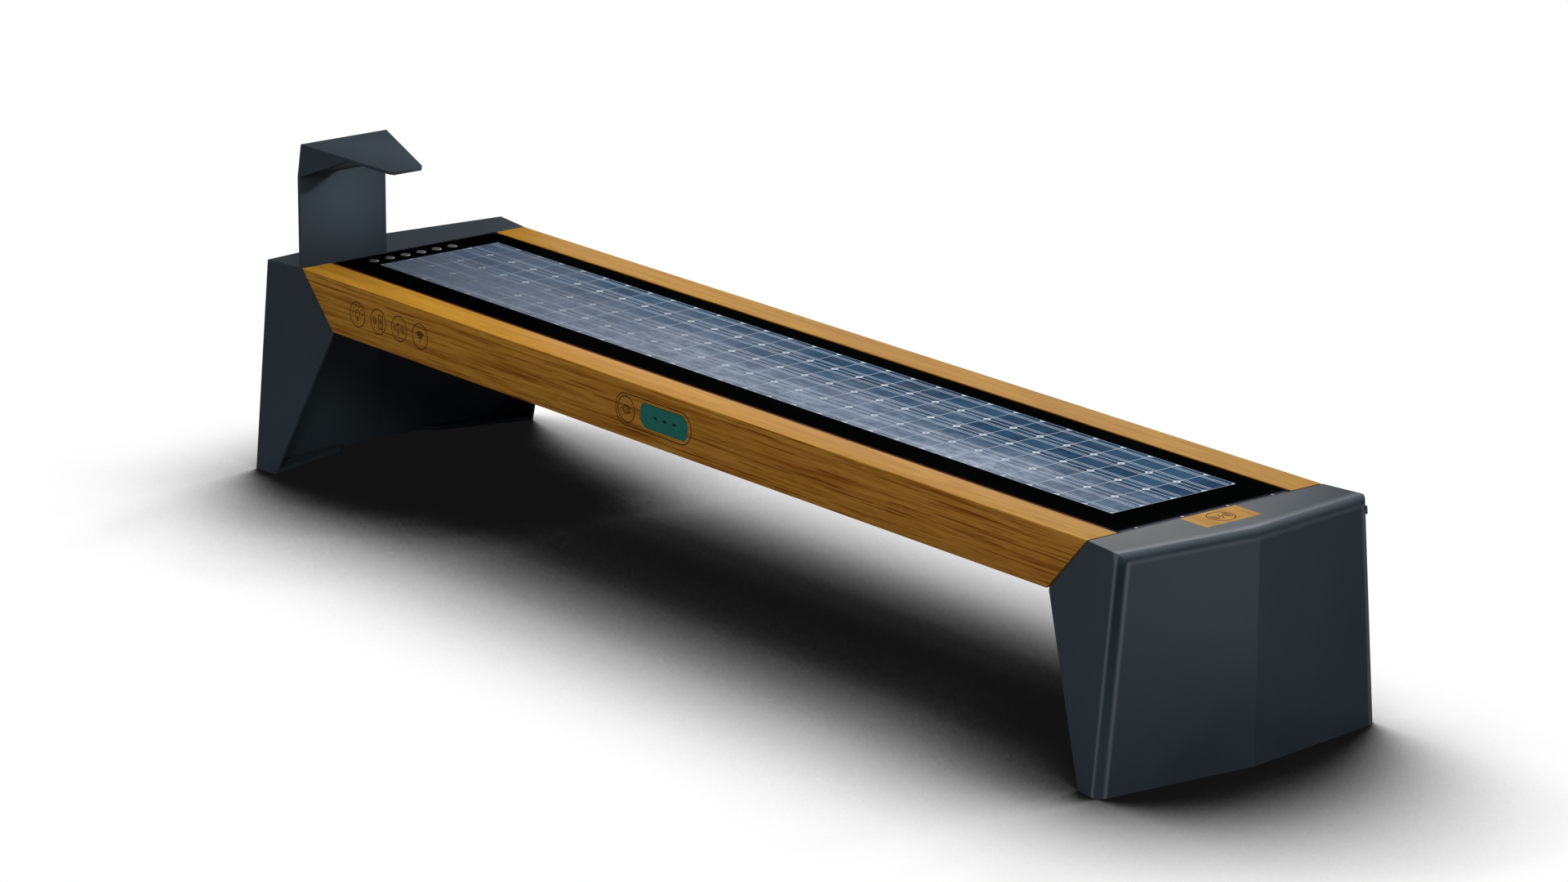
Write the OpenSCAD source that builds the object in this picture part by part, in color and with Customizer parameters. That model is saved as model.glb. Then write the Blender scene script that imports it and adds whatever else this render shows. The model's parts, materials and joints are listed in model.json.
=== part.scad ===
// Solar charging bench: two folded steel legs, mitred timber rails, a walkable
// solar glass top with push buttons, a USB plate, a wireless charging inlay and
// a small lamp on a post. X runs along the bench, the post stands at -X, the
// USB side faces -Y and the floor is at Z = 0.

/* [Bench] */
// Height of the seat above the floor
seat_h = 450; // [420:1:480]
// Width over the two timber rails
bench_w = 578; // [540:1:640]
// Length of the timber rails along their top edge
rail_l = 2472; // [2300:1:2700]

/* [Timber rails] */
// Width of each rail
rail_w = 74; // [70:1:80]
// Depth of each rail
rail_h = 116; // [112:1:124]
// How far the mitred rail end runs in from top to bottom
rail_mitre = 109; // [95:1:120]
// Gap between a rail end and the leg
rail_gap = 2.5; // [1:0.5:4]
// Radius of the rails' long edges
rail_edge_r = 2; // [1:0.5:4]

/* [Legs] */
// Length of a leg's top plate, from the rail end to its outer corner
leg_top_l = 106; // [100:1:130]
// How far the crease of the end face stands out beyond its corners
leg_crease = 34; // [15:1:45]
// Length of a leg's foot along the bench
leg_foot_l = 67; // [60:1:90]
// How much each side plate flares out over the length of the top plate
leg_flare = 15; // [5:1:25]
// How much each side plate splays out from the top to the floor
leg_splay = 44; // [25:1:60]
// Thickness of the leg plate
leg_t = 5; // [4:0.5:6]
// Outside radius of the right leg's folds
right_bend_r = 17; // [12:1:32]
// Outside radius of the left leg's folds
left_bend_r = 4; // [3:0.5:10]
// Radius of the knee under the rail end
knee_r = 9; // [4:1:14]
// Thickness of the bulkhead inside each leg
bulkhead_t = 6; // [4:1:8]
// Thickness of the anchor plates
base_t = 8; // [6:1:12]
// Radius of the anchor holes
anchor_r = 7; // [5:0.5:9]
// Distance of the anchor holes from the foot's inner end
anchor_in_x = 45; // [43:1:47]
// Distance of the anchor holes in from the top's outer corners
anchor_in_y = 34; // [30:1:38]

/* [Chassis] */
// Width of a chassis beam
beam_w = 40; // [35:1:45]
// Height of a chassis beam
beam_h = 80; // [74:1:84]
// Wall of the chassis beams and the cross tubes
beam_wall = 3; // [2:0.5:4]
// Side of a square cross tube
cross_w = 30; // [25:1:32]
// Number of cross tubes
cross_n = 6; // [4:2:6]
// Distance between neighbouring cross tubes
cross_pitch = 400; // [390:1:410]
// Thickness of the beams' end plates
end_plate_t = 8; // [6:1:10]
// Width of a beam's end plate
end_plate_w = 80; // [76:1:90]
// Radius of the bulkhead bolts
bolt_r = 6; // [4:0.5:6]
// Sheet thickness of the belly tray and its hatch
tray_t = 2; // [1.5:0.5:2.5]
// Depth of the belly tray below the beams
tray_d = 7.5; // [6:0.5:9]

/* [Solar top] */
// Thickness of the glass
glass_t = 8; // [6:1:10]
// Depth of the glass below the rails' top
glass_drop = 1.5; // [0.5:0.5:3]
// Width of the seal along the front rail
seal_front = 10; // [6:1:14]
// Width of the seal along the back rail
seal_back = 3; // [2:1:6]
// Gap between the top's ends and the legs
end_gap = 2; // [1:0.5:3]
// Width of the clamping strip at the right end
strip_w = 16; // [12:1:20]
// Height of the frame under the glass
frame_h = 10; // [8:1:12]
// Width of the frame's long sides
frame_w = 30; // [24:1:30]
// Width of the frame's ends
frame_end_w = 24; // [20:1:26]
// Side of a solar cell
cell = 75.3; // [70:0.1:75.4]
// Gap between solar cells
cell_gap = 1.2; // [0.6:0.1:1.3]
// Cut corner of a solar cell
cell_cut = 8; // [4:1:12]
// Thickness of a solar cell
cell_t = 0.5; // [0.3:0.1:1]
// Solar cells across the bench
cells_wide = 4; // [3:1:4]
// Black border at the left end of the glass
border_left = 72; // [64:1:76]
// Least black border at the right end of the glass
border_right = 80; // [74:1:90]
// Black border at the back of the glass
border_back = 46; // [38:1:56]
// Distance between neighbouring screws of the clamping strip
strip_screw_pitch = 112; // [90:1:120]

/* [Buttons] */
// Radius of a push button's cap
button_r = 6.5; // [5:0.5:6.5]
// Radius of a button's bezel
bezel_r = 10.4; // [10:0.1:11]
// Travel of a button
button_travel = 1.5; // [0.8:0.1:2]
// Distance between neighbouring buttons
button_pitch = 40.5; // [38:0.5:43]
// Distance of the buttons from the left end of the glass
button_inset = 38; // [36:1:40]
// Distance of the first button from the front of the glass
button_front = 73; // [60:1:90]

/* [Charging points] */
// Length of the USB plate
usb_l = 151; // [146:1:160]
// Height of the USB plate
usb_h = 51.5; // [48:0.5:56]
// Corner radius of the USB plate
usb_r = 20; // [10:1:23]
// Thickness of the USB plate
usb_t = 3; // [2:0.5:4]
// Depth of the USB plate below the rail's face
usb_drop = 1.5; // [0.5:0.5:3]
// Distance between neighbouring USB sockets
port_pitch = 30; // [28:1:32]
// Width of a USB socket's mouth
port_w = 12.5; // [12.3:0.1:13]
// Height of a USB socket's mouth
port_h = 5.1; // [4.8:0.1:5.4]
// Length of the timber charging inlay, across the bench
inlay_w = 136; // [120:1:150]
// Width of the timber charging inlay, along the bench
inlay_l = 72; // [60:1:76]

/* [Lamp] */
// Width of the lamp post
post_w = 218; // [200:1:240]
// Thickness of the lamp post
post_t = 8; // [6:1:10]
// Height of the post above the seat
post_h = 195; // [170:1:230]
// Height of the hood above the post
hood_h = 72; // [64:1:80]
// How far the hood's ridge leans over the post
hood_lean = 14; // [8:1:20]
// Length of the canopy from its ridge to its tip
canopy_l = 230; // [200:1:260]
// Drop of the canopy from its ridge to its tip
canopy_drop = 27; // [15:1:35]
// Width of the canopy at its tip
canopy_tip_w = 80; // [60:1:100]
// Thickness of the canopy
canopy_t = 7; // [5:0.5:9]

/* [Service hatch] */
// Length of the hatch opening
hatch_l = 500; // [480:1:540]
// Width of the hatch opening
hatch_w = 250; // [244:1:256]
// Overlap of the hatch around its opening
hatch_lap = 15; // [12:1:18]
// Radius of the hinge pin
pin_r = 1.75; // [1.5:0.25:2]
// Radius of the hinge knuckles
knuckle_r = 3.5; // [3.2:0.1:3.8]

/* [Hidden] */

$fn = 48;

// Overshoot of a cut past the face that it opens
cut = 1;
// Clearance of a seated part, each side
fit_gap = 0.2;
// Radial clearance of a turning or sliding pair
run_gap = 0.05;
// Clearance of a screw or bolt in its hole
screw_gap = 0.1;
// Gap between a moving sheet and a fixed one
seal_gap = 0.3;
// Side of a block that stands for a half space
space = 4000;

half_l = rail_l / 2;
half_w = bench_w / 2;
inner_y = half_w - rail_w;
rail_z = seat_h - rail_h;
knee_x = half_l - rail_mitre;
corner_x = half_l + leg_top_l;
corner_y = half_w + leg_flare;
foot_x = corner_x - leg_foot_l;
anchor_x = foot_x + anchor_in_x;
anchor_y = corner_y - anchor_in_y;

// The side planes lean by the flare and the splay, the end planes by the crease
flare = leg_flare / leg_top_l;
splay = leg_splay / seat_h;
side_len = norm([flare, 1, splay]);
side_dist = (half_w - flare * half_l + splay * seat_h) / side_len;
end_angle = atan(leg_crease / corner_y);
end_dist = (corner_x + leg_crease) * cos(end_angle);

// The mitre runs from the rail end down to the knee; its frame has x down the
// slope and z out of the bench
mitre_len = norm([rail_mitre, rail_h]);
mitre_tilt = 90 + atan(rail_mitre / rail_h);
mitre_drop = rail_h / mitre_len;
mitre_run = rail_mitre / mitre_len;

glass_top = seat_h - glass_drop;
glass_z = glass_top - glass_t;
frame_z = glass_z - frame_h;
beam_z = frame_z - beam_h;
cross_z = frame_z - cross_w;
glass_x0 = -half_l + end_gap;
glass_x1 = half_l - 2 * end_gap - strip_w;
glass_y0 = -inner_y + seal_front;
glass_y1 = inner_y - seal_back;
cell_pitch = cell + cell_gap;
cells_x0 = glass_x0 + border_left;
cells_long = floor((glass_x1 - border_right - cells_x0) / cell_pitch);
cells_y0 = glass_y1 - border_back - cells_wide * cell_pitch;
back_margin = 6;
// The bulkheads and the end plates stop below the glass frame
bulkhead_top = (seat_h - frame_z + 5) / mitre_drop;
plate_top = (seat_h - frame_z + end_plate_t * mitre_run) / mitre_drop + 1;
plate_end = (seat_h - beam_z) / mitre_drop;
bolt_y = inner_y - beam_w - 20;
bolt_slope = [0.38, 0.72];
cross_x = [for (i = [0:cross_n - 1]) (i - (cross_n - 1) / 2) * cross_pitch];
// Distances of the rail screws from the middle
rail_screw_x = [-960, -480, -140, 140, 480, 960];
rail_screw_r = 3;
rail_screw_l = beam_w + 40;

tray_z = beam_z - tray_d;
tray_in = beam_w + 2;
tray_l = 2 * (knee_x - 6);
hatch_z = tray_z - seal_gap - tray_t;
hinge_y = hatch_w / 2 + hatch_lap + knuckle_r + 0.5;
hinge_z = hatch_z - 1.6;
knuckle_l = 30;
knuckle_n = 6;
tray_screw_pitch = 300;
tray_screw_x = [for (i = [-3:3]) i * tray_screw_pitch];
tray_screw_r = 2.5;
housing_ring_h = 2.3;
lock_x = 165;
lock_y = -hatch_w / 2 + 12;
lock_r = 6;

button_x = glass_x0 + button_inset;
button_y0 = glass_y0 + button_front;
button_n = 6;
button_hole = button_r + 1.7;
button_z = glass_top + 1.9;
strip_screw_y = [for (i = [-1.5:1:1.5]) i * strip_screw_pitch + (glass_y0 + glass_y1) / 2];
strip_screw_r = 2;
strip_x0 = glass_x1 + end_gap;
strip_top = glass_top - 1.5;

// What the belly tray and the cross tubes carry
battery = [460, 210, 49];
controller = [180, 120, 34];
router = [160, 110, 28];
strap_w = 25;
strap_t = 1.5;
electronics_x = 400;
speaker_x = 850;
loom_r = 5;
loom_y = 150;
loom_z = cross_z - 7;

usb_z = seat_h - rail_h / 2;
usb_face = -half_w + usb_drop;
usb_back = usb_face + usb_t;
housing_l = 116;
housing_h = usb_h;
board_inset = 4;
pocket_z0 = usb_z - usb_h / 2 - fit_gap;
pocket_z1 = usb_z + usb_h / 2 + fit_gap;
housing_d = 44;
socket_d = 18;
socket_wall = 1.5;
usb_screw_r = 1.5;
plug_r = 6;
plug_drop = 28;

post_x = -half_l - post_t;
post_y = -half_w;
post_mid = post_y + post_w / 2;
post_top = seat_h + post_h;
tongue_w = post_w - 38;
foot_l = 56;
post_bolt_r = 4;
ridge = [post_x + hood_lean, post_top + hood_h];
tip = [ridge[0] + canopy_l, ridge[1] - canopy_drop];
// The hood's underside meets the canopy half way out
throat = [(ridge[0] + tip[0]) / 2, (ridge[1] + tip[1]) / 2 - canopy_t];
hood_back = [post_x, post_top];
hood_front = [post_x + post_t, post_top];
under_tilt = atan((throat[1] - hood_front[1]) / (throat[0] - hood_front[0]));
lens_x = 40;
lens_l = 65;
lens_w = 116;
lens_t = 3;
board_t = 1.6;
led_t = 1;
lamp_stack = lens_t + led_t + board_t;

steel = [0.2, 0.22, 0.26];
timber = [0.66, 0.42, 0.16];
zinc = [0.7, 0.71, 0.73];
black = [0.03, 0.03, 0.035];

// Everything on the inner side of the plane with unit normal n at distance d
module half_space(n, d) {
    translate(n * d)
        rotate([0, acos(n[2]), atan2(n[1], n[0])])
            translate([-space / 2, -space / 2, -space])
                cube([space, space, space]);
}

// What rounding with radius r takes off the corner at the origin between two
// faces with outward unit normals n1 and n2
module corner_cap(n1, n2, r) {
    to_apex = (n1 + n2) / (1 + n1 * n2);
    centre = -r * to_apex;
    difference() {
        polygon([centre, centre + (r + 2) * n1, 2 * to_apex, centre + (r + 2) * n2]);
        translate(centre)
            circle(r = r, $fn = 96);
    }
}

// What rounding takes off the edge where planes n1, d1 and n2, d2 meet; the
// edge passes through point p
module edge_cap(p, n1, n2, r) {
    along = cross(n1, n2) / norm(cross(n1, n2));
    turn = atan2(along[1], along[0]);
    lean = acos(along[2]);
    ex = [cos(turn) * cos(lean), sin(turn) * cos(lean), -sin(lean)];
    ey = [-sin(turn), cos(turn), 0];
    translate(p)
        rotate([0, lean, turn])
            linear_extrude(height = 2 * space, center = true)
                corner_cap([n1 * ex, n1 * ey], [n2 * ex, n2 * ey], r);
}

// Where three planes meet
function meet(a, da, b, db, c, dc) =
    (da * cross(b, c) + db * cross(c, a) + dc * cross(a, b)) / (a * cross(b, c));

// Outline of a leg's side; the inner form runs on past the open side and floor
module leg_profile(inset) {
    if (inset == 0)
        difference() {
            polygon([[half_l, seat_h], [knee_x, rail_z], [foot_x, 0],
                [corner_x + leg_crease + cut, 0], [corner_x + leg_crease + cut, seat_h]]);
            translate([knee_x, rail_z])
                corner_cap([-mitre_drop, mitre_run], knee_normal(), knee_r);
        }
    else
        translate([knee_x - 60, -cut])
            square([corner_x + leg_crease - knee_x + 60 + cut, seat_h - inset + cut]);
}
function knee_normal() = let (run = foot_x - knee_x) [-rail_z, -run] / norm([rail_z, run]);

// Outward normals of the leg's side and end plates; s is the sign of their y
function side_normal(s) = [-flare, s, splay] / side_len;
function end_normal(s) = [cos(end_angle), s * sin(end_angle), 0];

// The solid body of the leg at +X, with every plate moved in by inset
module leg_body(inset, r) {
    difference() {
        intersection() {
            translate([0, space / 2, 0])
                rotate([90, 0, 0])
                    linear_extrude(height = space)
                        leg_profile(inset);
            half_space(side_normal(-1), side_dist - inset);
            half_space(side_normal(1), side_dist - inset);
            half_space(end_normal(-1), end_dist - inset);
            half_space(end_normal(1), end_dist - inset);
        }
        if (r > 0)
            for (s = [-1, 1])
                leg_rounding(s, inset, r);
    }
}

// The rounding of one side's folds
module leg_rounding(s, inset, r) {
    side_n = side_normal(s);
    end_n = end_normal(s);
    top_n = [0, 0, 1];
    apex = meet(side_n, side_dist - inset, end_n, end_dist - inset, top_n, seat_h - inset);
    edge_cap(apex, side_n, end_n, r);
    edge_cap(apex, end_n, top_n, r);
}

// The folded shell of the leg at +X; its top plate ends square between the rails
module leg_shell(r) {
    difference() {
        leg_body(0, r);
        leg_body(leg_t, max(r - leg_t, 0));
        translate([knee_x, -inner_y, seat_h - leg_t - cut])
            cube([rail_mitre, 2 * inner_y, leg_t + 2 * cut]);
    }
}

// Places children on both sides of the bench's length
module both_ends() {
    children();
    mirror([1, 0, 0])
        children();
}

// Places children on both sides of the centre line
module both_sides() {
    children();
    mirror([0, 1, 0])
        children();
}

// The mitre's frame at the +X end
module at_mitre() {
    translate([half_l, 0, seat_h])
        rotate([0, mitre_tilt, 0])
            children();
}

// Cuts children off at both mitres, offset by gap from the mitre plane
module mitred(gap) {
    difference() {
        children();
        both_ends()
            at_mitre()
                translate([-space / 2, -space / 2, -gap])
                    cube([space, space, space]);
    }
}

module left_leg() {
    color(steel)
        difference() {
            mirror([1, 0, 0])
                leg_shell(left_bend_r);
            translate([post_x - fit_gap, post_mid - tongue_w / 2 - fit_gap, seat_h - leg_t - cut])
                cube([post_t + cut, tongue_w + 2 * fit_gap, leg_t + 2 * cut]);
        }
}

module right_leg() {
    color(steel)
        difference() {
            leg_shell(right_bend_r);
            translate([half_l - cut, -inlay_w / 2, seat_h - leg_t - cut])
                cube([inlay_l + cut, inlay_w, leg_t + 2 * cut]);
            plug_place()
                cylinder(r = plug_r + screw_gap, h = 40, center = true);
        }
}

// The two anchor plates of the leg at +X: triangles with a blunt tip
module base_plates(r) {
    tip_y = 105;
    blunt = 22;
    far_x = corner_x + leg_crease + cut;
    tip_x = corner_x + leg_crease * (1 - tip_y / corner_y) - leg_t;
    difference() {
        intersection() {
            both_sides()
                linear_extrude(height = base_t)
                    polygon([[foot_x + 2, half_w + 100], [far_x, half_w + 100], [far_x, tip_y],
                        [tip_x, tip_y], [tip_x - blunt, tip_y + blunt],
                        [foot_x + 2, half_w + leg_splay]]);
            translate([0, 0, -cut])
                leg_body(leg_t, max(r - leg_t, 0));
        }
        both_sides()
            translate([anchor_x, anchor_y, -cut])
                cylinder(r = anchor_r, h = base_t + 2 * cut);
    }
}

module left_base_plates() {
    color(steel)
        mirror([1, 0, 0])
            base_plates(left_bend_r);
}

module right_base_plates() {
    color(steel)
        base_plates(right_bend_r);
}

// Places children at the four bulkhead bolts of the +X end
module at_bolts() {
    at_mitre()
        for (s = [-1, 1], f = bolt_slope)
            translate([f * mitre_len, s * bolt_y, 0])
                children();
}

module bulkhead(r) {
    difference() {
        intersection() {
            at_mitre()
                translate([bulkhead_top, -half_w, 0])
                    cube([mitre_len - bulkhead_top - knee_r, bench_w, bulkhead_t]);
            leg_body(leg_t, max(r - leg_t, 0));
        }
        at_bolts()
            cylinder(r = bolt_r + screw_gap, h = 60, center = true);
    }
}

module left_bulkhead() {
    color(steel)
        mirror([1, 0, 0])
            bulkhead(left_bend_r);
}

module right_bulkhead() {
    color(steel)
        bulkhead(right_bend_r);
}

// A rectangular tube along X
module tube_x(l, w, h, wall) {
    difference() {
        cube([l, w, h]);
        translate([-cut, wall, wall])
            cube([l + 2 * cut, w - 2 * wall, h - 2 * wall]);
    }
}

// Places children at the rail screws' heads, with +Z into the rail
module at_rail_screws() {
    for (x = rail_screw_x)
        translate([x, inner_y - beam_w, beam_z + beam_h / 3])
            rotate([-90, 0, 0])
                children();
}

// The beam at +Y
module beam() {
    color(zinc)
        difference() {
            mitred(end_plate_t)
                translate([-half_l, inner_y - beam_w, beam_z])
                    tube_x(rail_l, beam_w, beam_h, beam_wall);
            at_rail_screws()
                cylinder(r = rail_screw_r + screw_gap, h = 3 * beam_w, center = true);
            at_tray_screws()
                cylinder(r = tray_screw_r + screw_gap, h = 4 * beam_wall, center = true);
        }
}

module front_beam() {
    mirror([0, 1, 0])
        beam();
}

module back_beam() {
    beam();
}

module cross_tubes() {
    span = 2 * (inner_y - beam_w);
    color(zinc)
        for (x = cross_x)
            translate([x + cross_w / 2, -span / 2, cross_z])
                rotate([0, 0, 90])
                    tube_x(span, cross_w, cross_w, beam_wall);
}

module beam_end_plates() {
    color(zinc)
        both_ends()
            difference() {
                at_mitre()
                    both_sides()
                        translate([plate_top, inner_y - end_plate_w, -end_plate_t])
                            cube([plate_end - plate_top, end_plate_w, end_plate_t]);
                at_bolts()
                    cylinder(r = bolt_r + screw_gap, h = 60, center = true);
            }
}

module bulkhead_bolts() {
    head_h = 7.5;
    head_r = 1.75 * bolt_r;
    color(zinc)
        both_ends()
            at_bolts() {
                translate([0, 0, bulkhead_t])
                    cylinder(r = head_r, h = head_h, $fn = 6);
                translate([0, 0, -end_plate_t - cut])
                    cylinder(r = bolt_r, h = end_plate_t + bulkhead_t + cut);
                translate([0, 0, -end_plate_t - head_h])
                    cylinder(r = head_r, h = head_h, $fn = 6);
            }
}

// Section of a rail, with its four long edges rounded
module rail_section() {
    difference() {
        square([rail_w, rail_h]);
        for (x = [0, 1], y = [0, 1])
            translate([x * rail_w, y * rail_h])
                corner_cap([2 * x - 1, 0], [0, 2 * y - 1], rail_edge_r);
    }
}

// The rail at +Y
module rail() {
    difference() {
        mitred(rail_gap)
            translate([-half_l, inner_y, rail_z])
                rotate([90, 0, 90])
                    linear_extrude(height = rail_l)
                        rail_section();
        at_rail_screws()
            cylinder(r = rail_screw_r + screw_gap, h = 2 * rail_screw_l, center = true);
    }
}

// A plate with round corners, facing -Y, its face at y = 0
module rounded_plate(l, h, r, t) {
    rotate([90, 0, 0])
        translate([0, 0, -t])
            linear_extrude(height = t)
                difference() {
                    square([l, h], center = true);
                    for (x = [-1, 1], y = [-1, 1])
                        translate([x * l / 2, y * h / 2])
                            corner_cap([x, 0], [0, y], r);
                }
}

// The front rail is glued from three boards; the USB pocket breaks the middle one
module front_board(z0, z1) {
    color(timber)
        intersection() {
            mirror([0, 1, 0])
                rail();
            translate([-space / 2, -space / 2, z0])
                cube([space, space, z1 - z0]);
        }
}

module front_rail_top() {
    front_board(pocket_z1, seat_h);
}

module front_rail_bottom() {
    front_board(rail_z, pocket_z0);
}

// Both parts of the middle board
module front_middle() {
    difference() {
        front_board(pocket_z0, pocket_z1);
        translate([0, -half_w - cut, usb_z])
            rounded_plate(usb_l + 2 * fit_gap, usb_h + 2 * fit_gap, usb_r, cut + usb_drop + usb_t);
        translate([-housing_l / 2 - fit_gap, -half_w - cut, pocket_z0 - cut])
            cube([housing_l + 2 * fit_gap, rail_w + 2 * cut, pocket_z1 - pocket_z0 + 2 * cut]);
        at_usb_screws()
            cylinder(r = usb_screw_r + screw_gap, h = 40, center = true);
    }
}

module front_rail_left() {
    intersection() {
        front_middle();
        translate([-space, -space / 2, 0])
            cube([space, space, seat_h]);
    }
}

module front_rail_right() {
    intersection() {
        front_middle();
        translate([0, -space / 2, 0])
            cube([space, space, seat_h]);
    }
}

module back_rail() {
    color(timber)
        rail();
}

module rail_screws() {
    head_h = 4;
    color(zinc)
        both_sides()
            at_rail_screws() {
                translate([0, 0, -head_h])
                    cylinder(r = 2 * rail_screw_r, h = head_h);
                cylinder(r = rail_screw_r, h = rail_screw_l - cut);
            }
}

// Places children at the tray's screws, on the beams' undersides
module at_tray_screws() {
    both_sides()
        for (x = tray_screw_x)
            translate([x, inner_y - beam_w / 2, beam_z])
                children();
}

// Slots of a loudspeaker's grille, within a circle
module grille() {
    slot_w = 4;
    pitch = 9;
    r = 44;
    for (i = [-4:4]) {
        half = sqrt(r * r - pow(pitch * i, 2));
        translate([pitch * i - slot_w / 2, -half, -cut])
            cube([slot_w, 2 * half, tray_t + 2 * cut]);
    }
}

// Places children at the hinge knuckles from number first, every second one
module at_knuckles(first) {
    for (i = [first:2:knuckle_n * 2])
        translate([(i - knuckle_n) * (knuckle_l + seal_gap) - knuckle_l / 2, hinge_y, hinge_z])
            rotate([0, 90, 0])
                children();
}

// One knuckle, with a web that reaches w along -y and h above the axis
module knuckle(w, h) {
    difference() {
        union() {
            cylinder(r = knuckle_r, h = knuckle_l);
            translate([-h, -w, 0])
                cube([h, w, knuckle_l]);
        }
        translate([0, 0, -cut])
            cylinder(r = pin_r + run_gap, h = knuckle_l + 2 * cut);
    }
}

module belly_tray() {
    in_y = inner_y - tray_in;
    color(zinc)
        difference() {
            union() {
                translate([-tray_l / 2, -in_y, tray_z])
                    cube([tray_l, 2 * in_y, tray_t]);
                both_sides() {
                    translate([-tray_l / 2, in_y - tray_t, tray_z])
                        cube([tray_l, tray_t, tray_d]);
                    translate([-tray_l / 2, in_y - tray_t, beam_z - tray_t])
                        cube([tray_l, beam_w, tray_t]);
                }
                at_knuckles(0)
                    knuckle(knuckle_r, tray_z - hinge_z + tray_t / 2);
            }
            translate([-hatch_l / 2, -hatch_w / 2, tray_z - cut])
                cube([hatch_l, hatch_w, tray_t + 2 * cut]);
            at_tray_screws()
                cylinder(r = tray_screw_r + screw_gap, h = 3 * tray_t, center = true);
            both_ends()
                translate([speaker_x, 0, tray_z])
                    grille();
        }
}

module tray_screws() {
    head_h = 2;
    color(zinc)
        at_tray_screws() {
            translate([0, 0, -tray_t - head_h])
                cylinder(r = 2 * tray_screw_r, h = head_h);
            translate([0, 0, -tray_t - head_h / 2])
                cylinder(r = tray_screw_r, h = tray_t + head_h / 2 + 2 * beam_wall);
        }
}

// Places children at the locks' axes; side is -1 at the left and 1 at the right
module at_lock(side) {
    translate([side * lock_x, lock_y, 0])
        children();
}

module service_hatch() {
    l = hatch_l + 2 * hatch_lap;
    w = hatch_w + 2 * hatch_lap;
    color(zinc)
        difference() {
            union() {
                translate([-l / 2, -w / 2, hatch_z])
                    cube([l, w, tray_t]);
                at_knuckles(1)
                    knuckle(hinge_y - w / 2 + cut, hatch_z - hinge_z + tray_t);
            }
            for (s = [-1, 1])
                at_lock(s)
                    translate([0, 0, hatch_z - cut])
                        cylinder(r = lock_r + run_gap, h = tray_t + 2 * cut);
        }
}

module hatch_pin() {
    pin_l = (2 * knuckle_n + 1) * (knuckle_l + seal_gap) + 4;
    color(zinc)
        translate([-pin_l / 2, hinge_y, hinge_z])
            rotate([0, 90, 0])
                cylinder(r = pin_r, h = pin_l);
}

module lock_housings() {
    color(zinc)
        for (s = [-1, 1])
            at_lock(s)
                translate([0, 0, hatch_z + tray_t])
                    difference() {
                        cylinder(r = lock_r + 3.5, h = housing_ring_h);
                        translate([0, 0, -cut])
                            cylinder(r = lock_r + run_gap, h = housing_ring_h + 2 * cut);
                    }
}

// A quarter turn lock: a slotted head, a spindle and a tongue that points along X
module lock() {
    head_h = 1.8;
    tongue_z = hatch_z + tray_t + housing_ring_h + seal_gap;
    tongue = [26, 10, 2];
    color(zinc)
        difference() {
            union() {
                translate([0, 0, hatch_z - seal_gap - head_h])
                    cylinder(r = lock_r + 4, h = head_h);
                translate([0, 0, hatch_z - seal_gap - head_h / 2])
                    cylinder(r = lock_r, h = tongue_z - hatch_z + seal_gap + tongue[2]);
                translate([0, -tongue[1] / 2, tongue_z])
                    cube(tongue);
            }
            translate([-lock_r, -1, hatch_z - seal_gap - head_h - cut])
                cube([2 * lock_r, 2, cut + 1]);
        }
}

module left_lock() {
    at_lock(-1)
        lock();
}

module right_lock() {
    at_lock(1)
        lock();
}

module battery_pack() {
    terminal_r = 6;
    color("dimgray")
        translate([0, 0, cross_z - battery[2]]) {
            translate([-battery[0] / 2, -battery[1] / 2, 0])
                cube(battery);
            for (s = [-1, 1])
                translate([battery[0] / 2, s * 60, battery[2] / 2])
                    rotate([0, 90, 0])
                        cylinder(r = terminal_r, h = 12);
        }
}

module battery_straps() {
    z0 = cross_z - battery[2];
    color(zinc)
        for (x = [-cross_pitch / 2, cross_pitch / 2])
            translate([x - strap_w / 2, 0, 0]) {
                translate([0, -battery[1] / 2 - strap_t, z0 - strap_t])
                    cube([strap_w, battery[1] + 2 * strap_t, strap_t]);
                both_sides() {
                    translate([0, battery[1] / 2, z0 - strap_t])
                        cube([strap_w, strap_t, battery[2] + strap_t]);
                    translate([0, battery[1] / 2, cross_z - strap_t])
                        cube([strap_w, 24, strap_t]);
                }
            }
}

// A finned electronics box on the tray floor, its middle at x
module electronics_box(x, size, fins) {
    translate([x - size[0] / 2, -size[1] / 2, tray_z + tray_t]) {
        cube(size);
        for (i = [0:fins - 1])
            translate([(i + 0.5) * size[0] / fins - 1, 0, size[2] - cut])
                cube([2, size[1], 5 + cut]);
    }
}

module charge_controller() {
    color("dimgray")
        electronics_box(-electronics_x, controller, 12);
}

module network_router() {
    antenna_r = 4;
    antenna_l = 70;
    antenna_y = 30;
    color("dimgray") {
        electronics_box(electronics_x, router, 0);
        for (s = [-1, 1])
            translate([electronics_x + router[0] / 2 - cut, s * antenna_y,
                tray_z + tray_t + router[2] / 2])
                rotate([0, 90, 0])
                    cylinder(r = antenna_r, h = antenna_l + cut);
    }
}

module loudspeakers() {
    basket_r = 52;
    cone_r = 45;
    cone_h = 8;
    basket_h = 12;
    magnet_r = 30;
    magnet_h = 24;
    color("dimgray")
        both_ends()
            translate([speaker_x, 0, tray_z + tray_t]) {
                difference() {
                    cylinder(r = basket_r, h = basket_h);
                    translate([0, 0, -cut])
                        cylinder(r = cone_r, h = cone_h + cut);
                }
                translate([0, 0, basket_h - cut])
                    cylinder(r = magnet_r, h = magnet_h);
            }
}

module wiring_loom() {
    l = (cross_n - 1) * cross_pitch + 20;
    color(black)
        translate([-l / 2, loom_y, loom_z])
            rotate([0, 90, 0])
                cylinder(r = loom_r, h = l);
}

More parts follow.
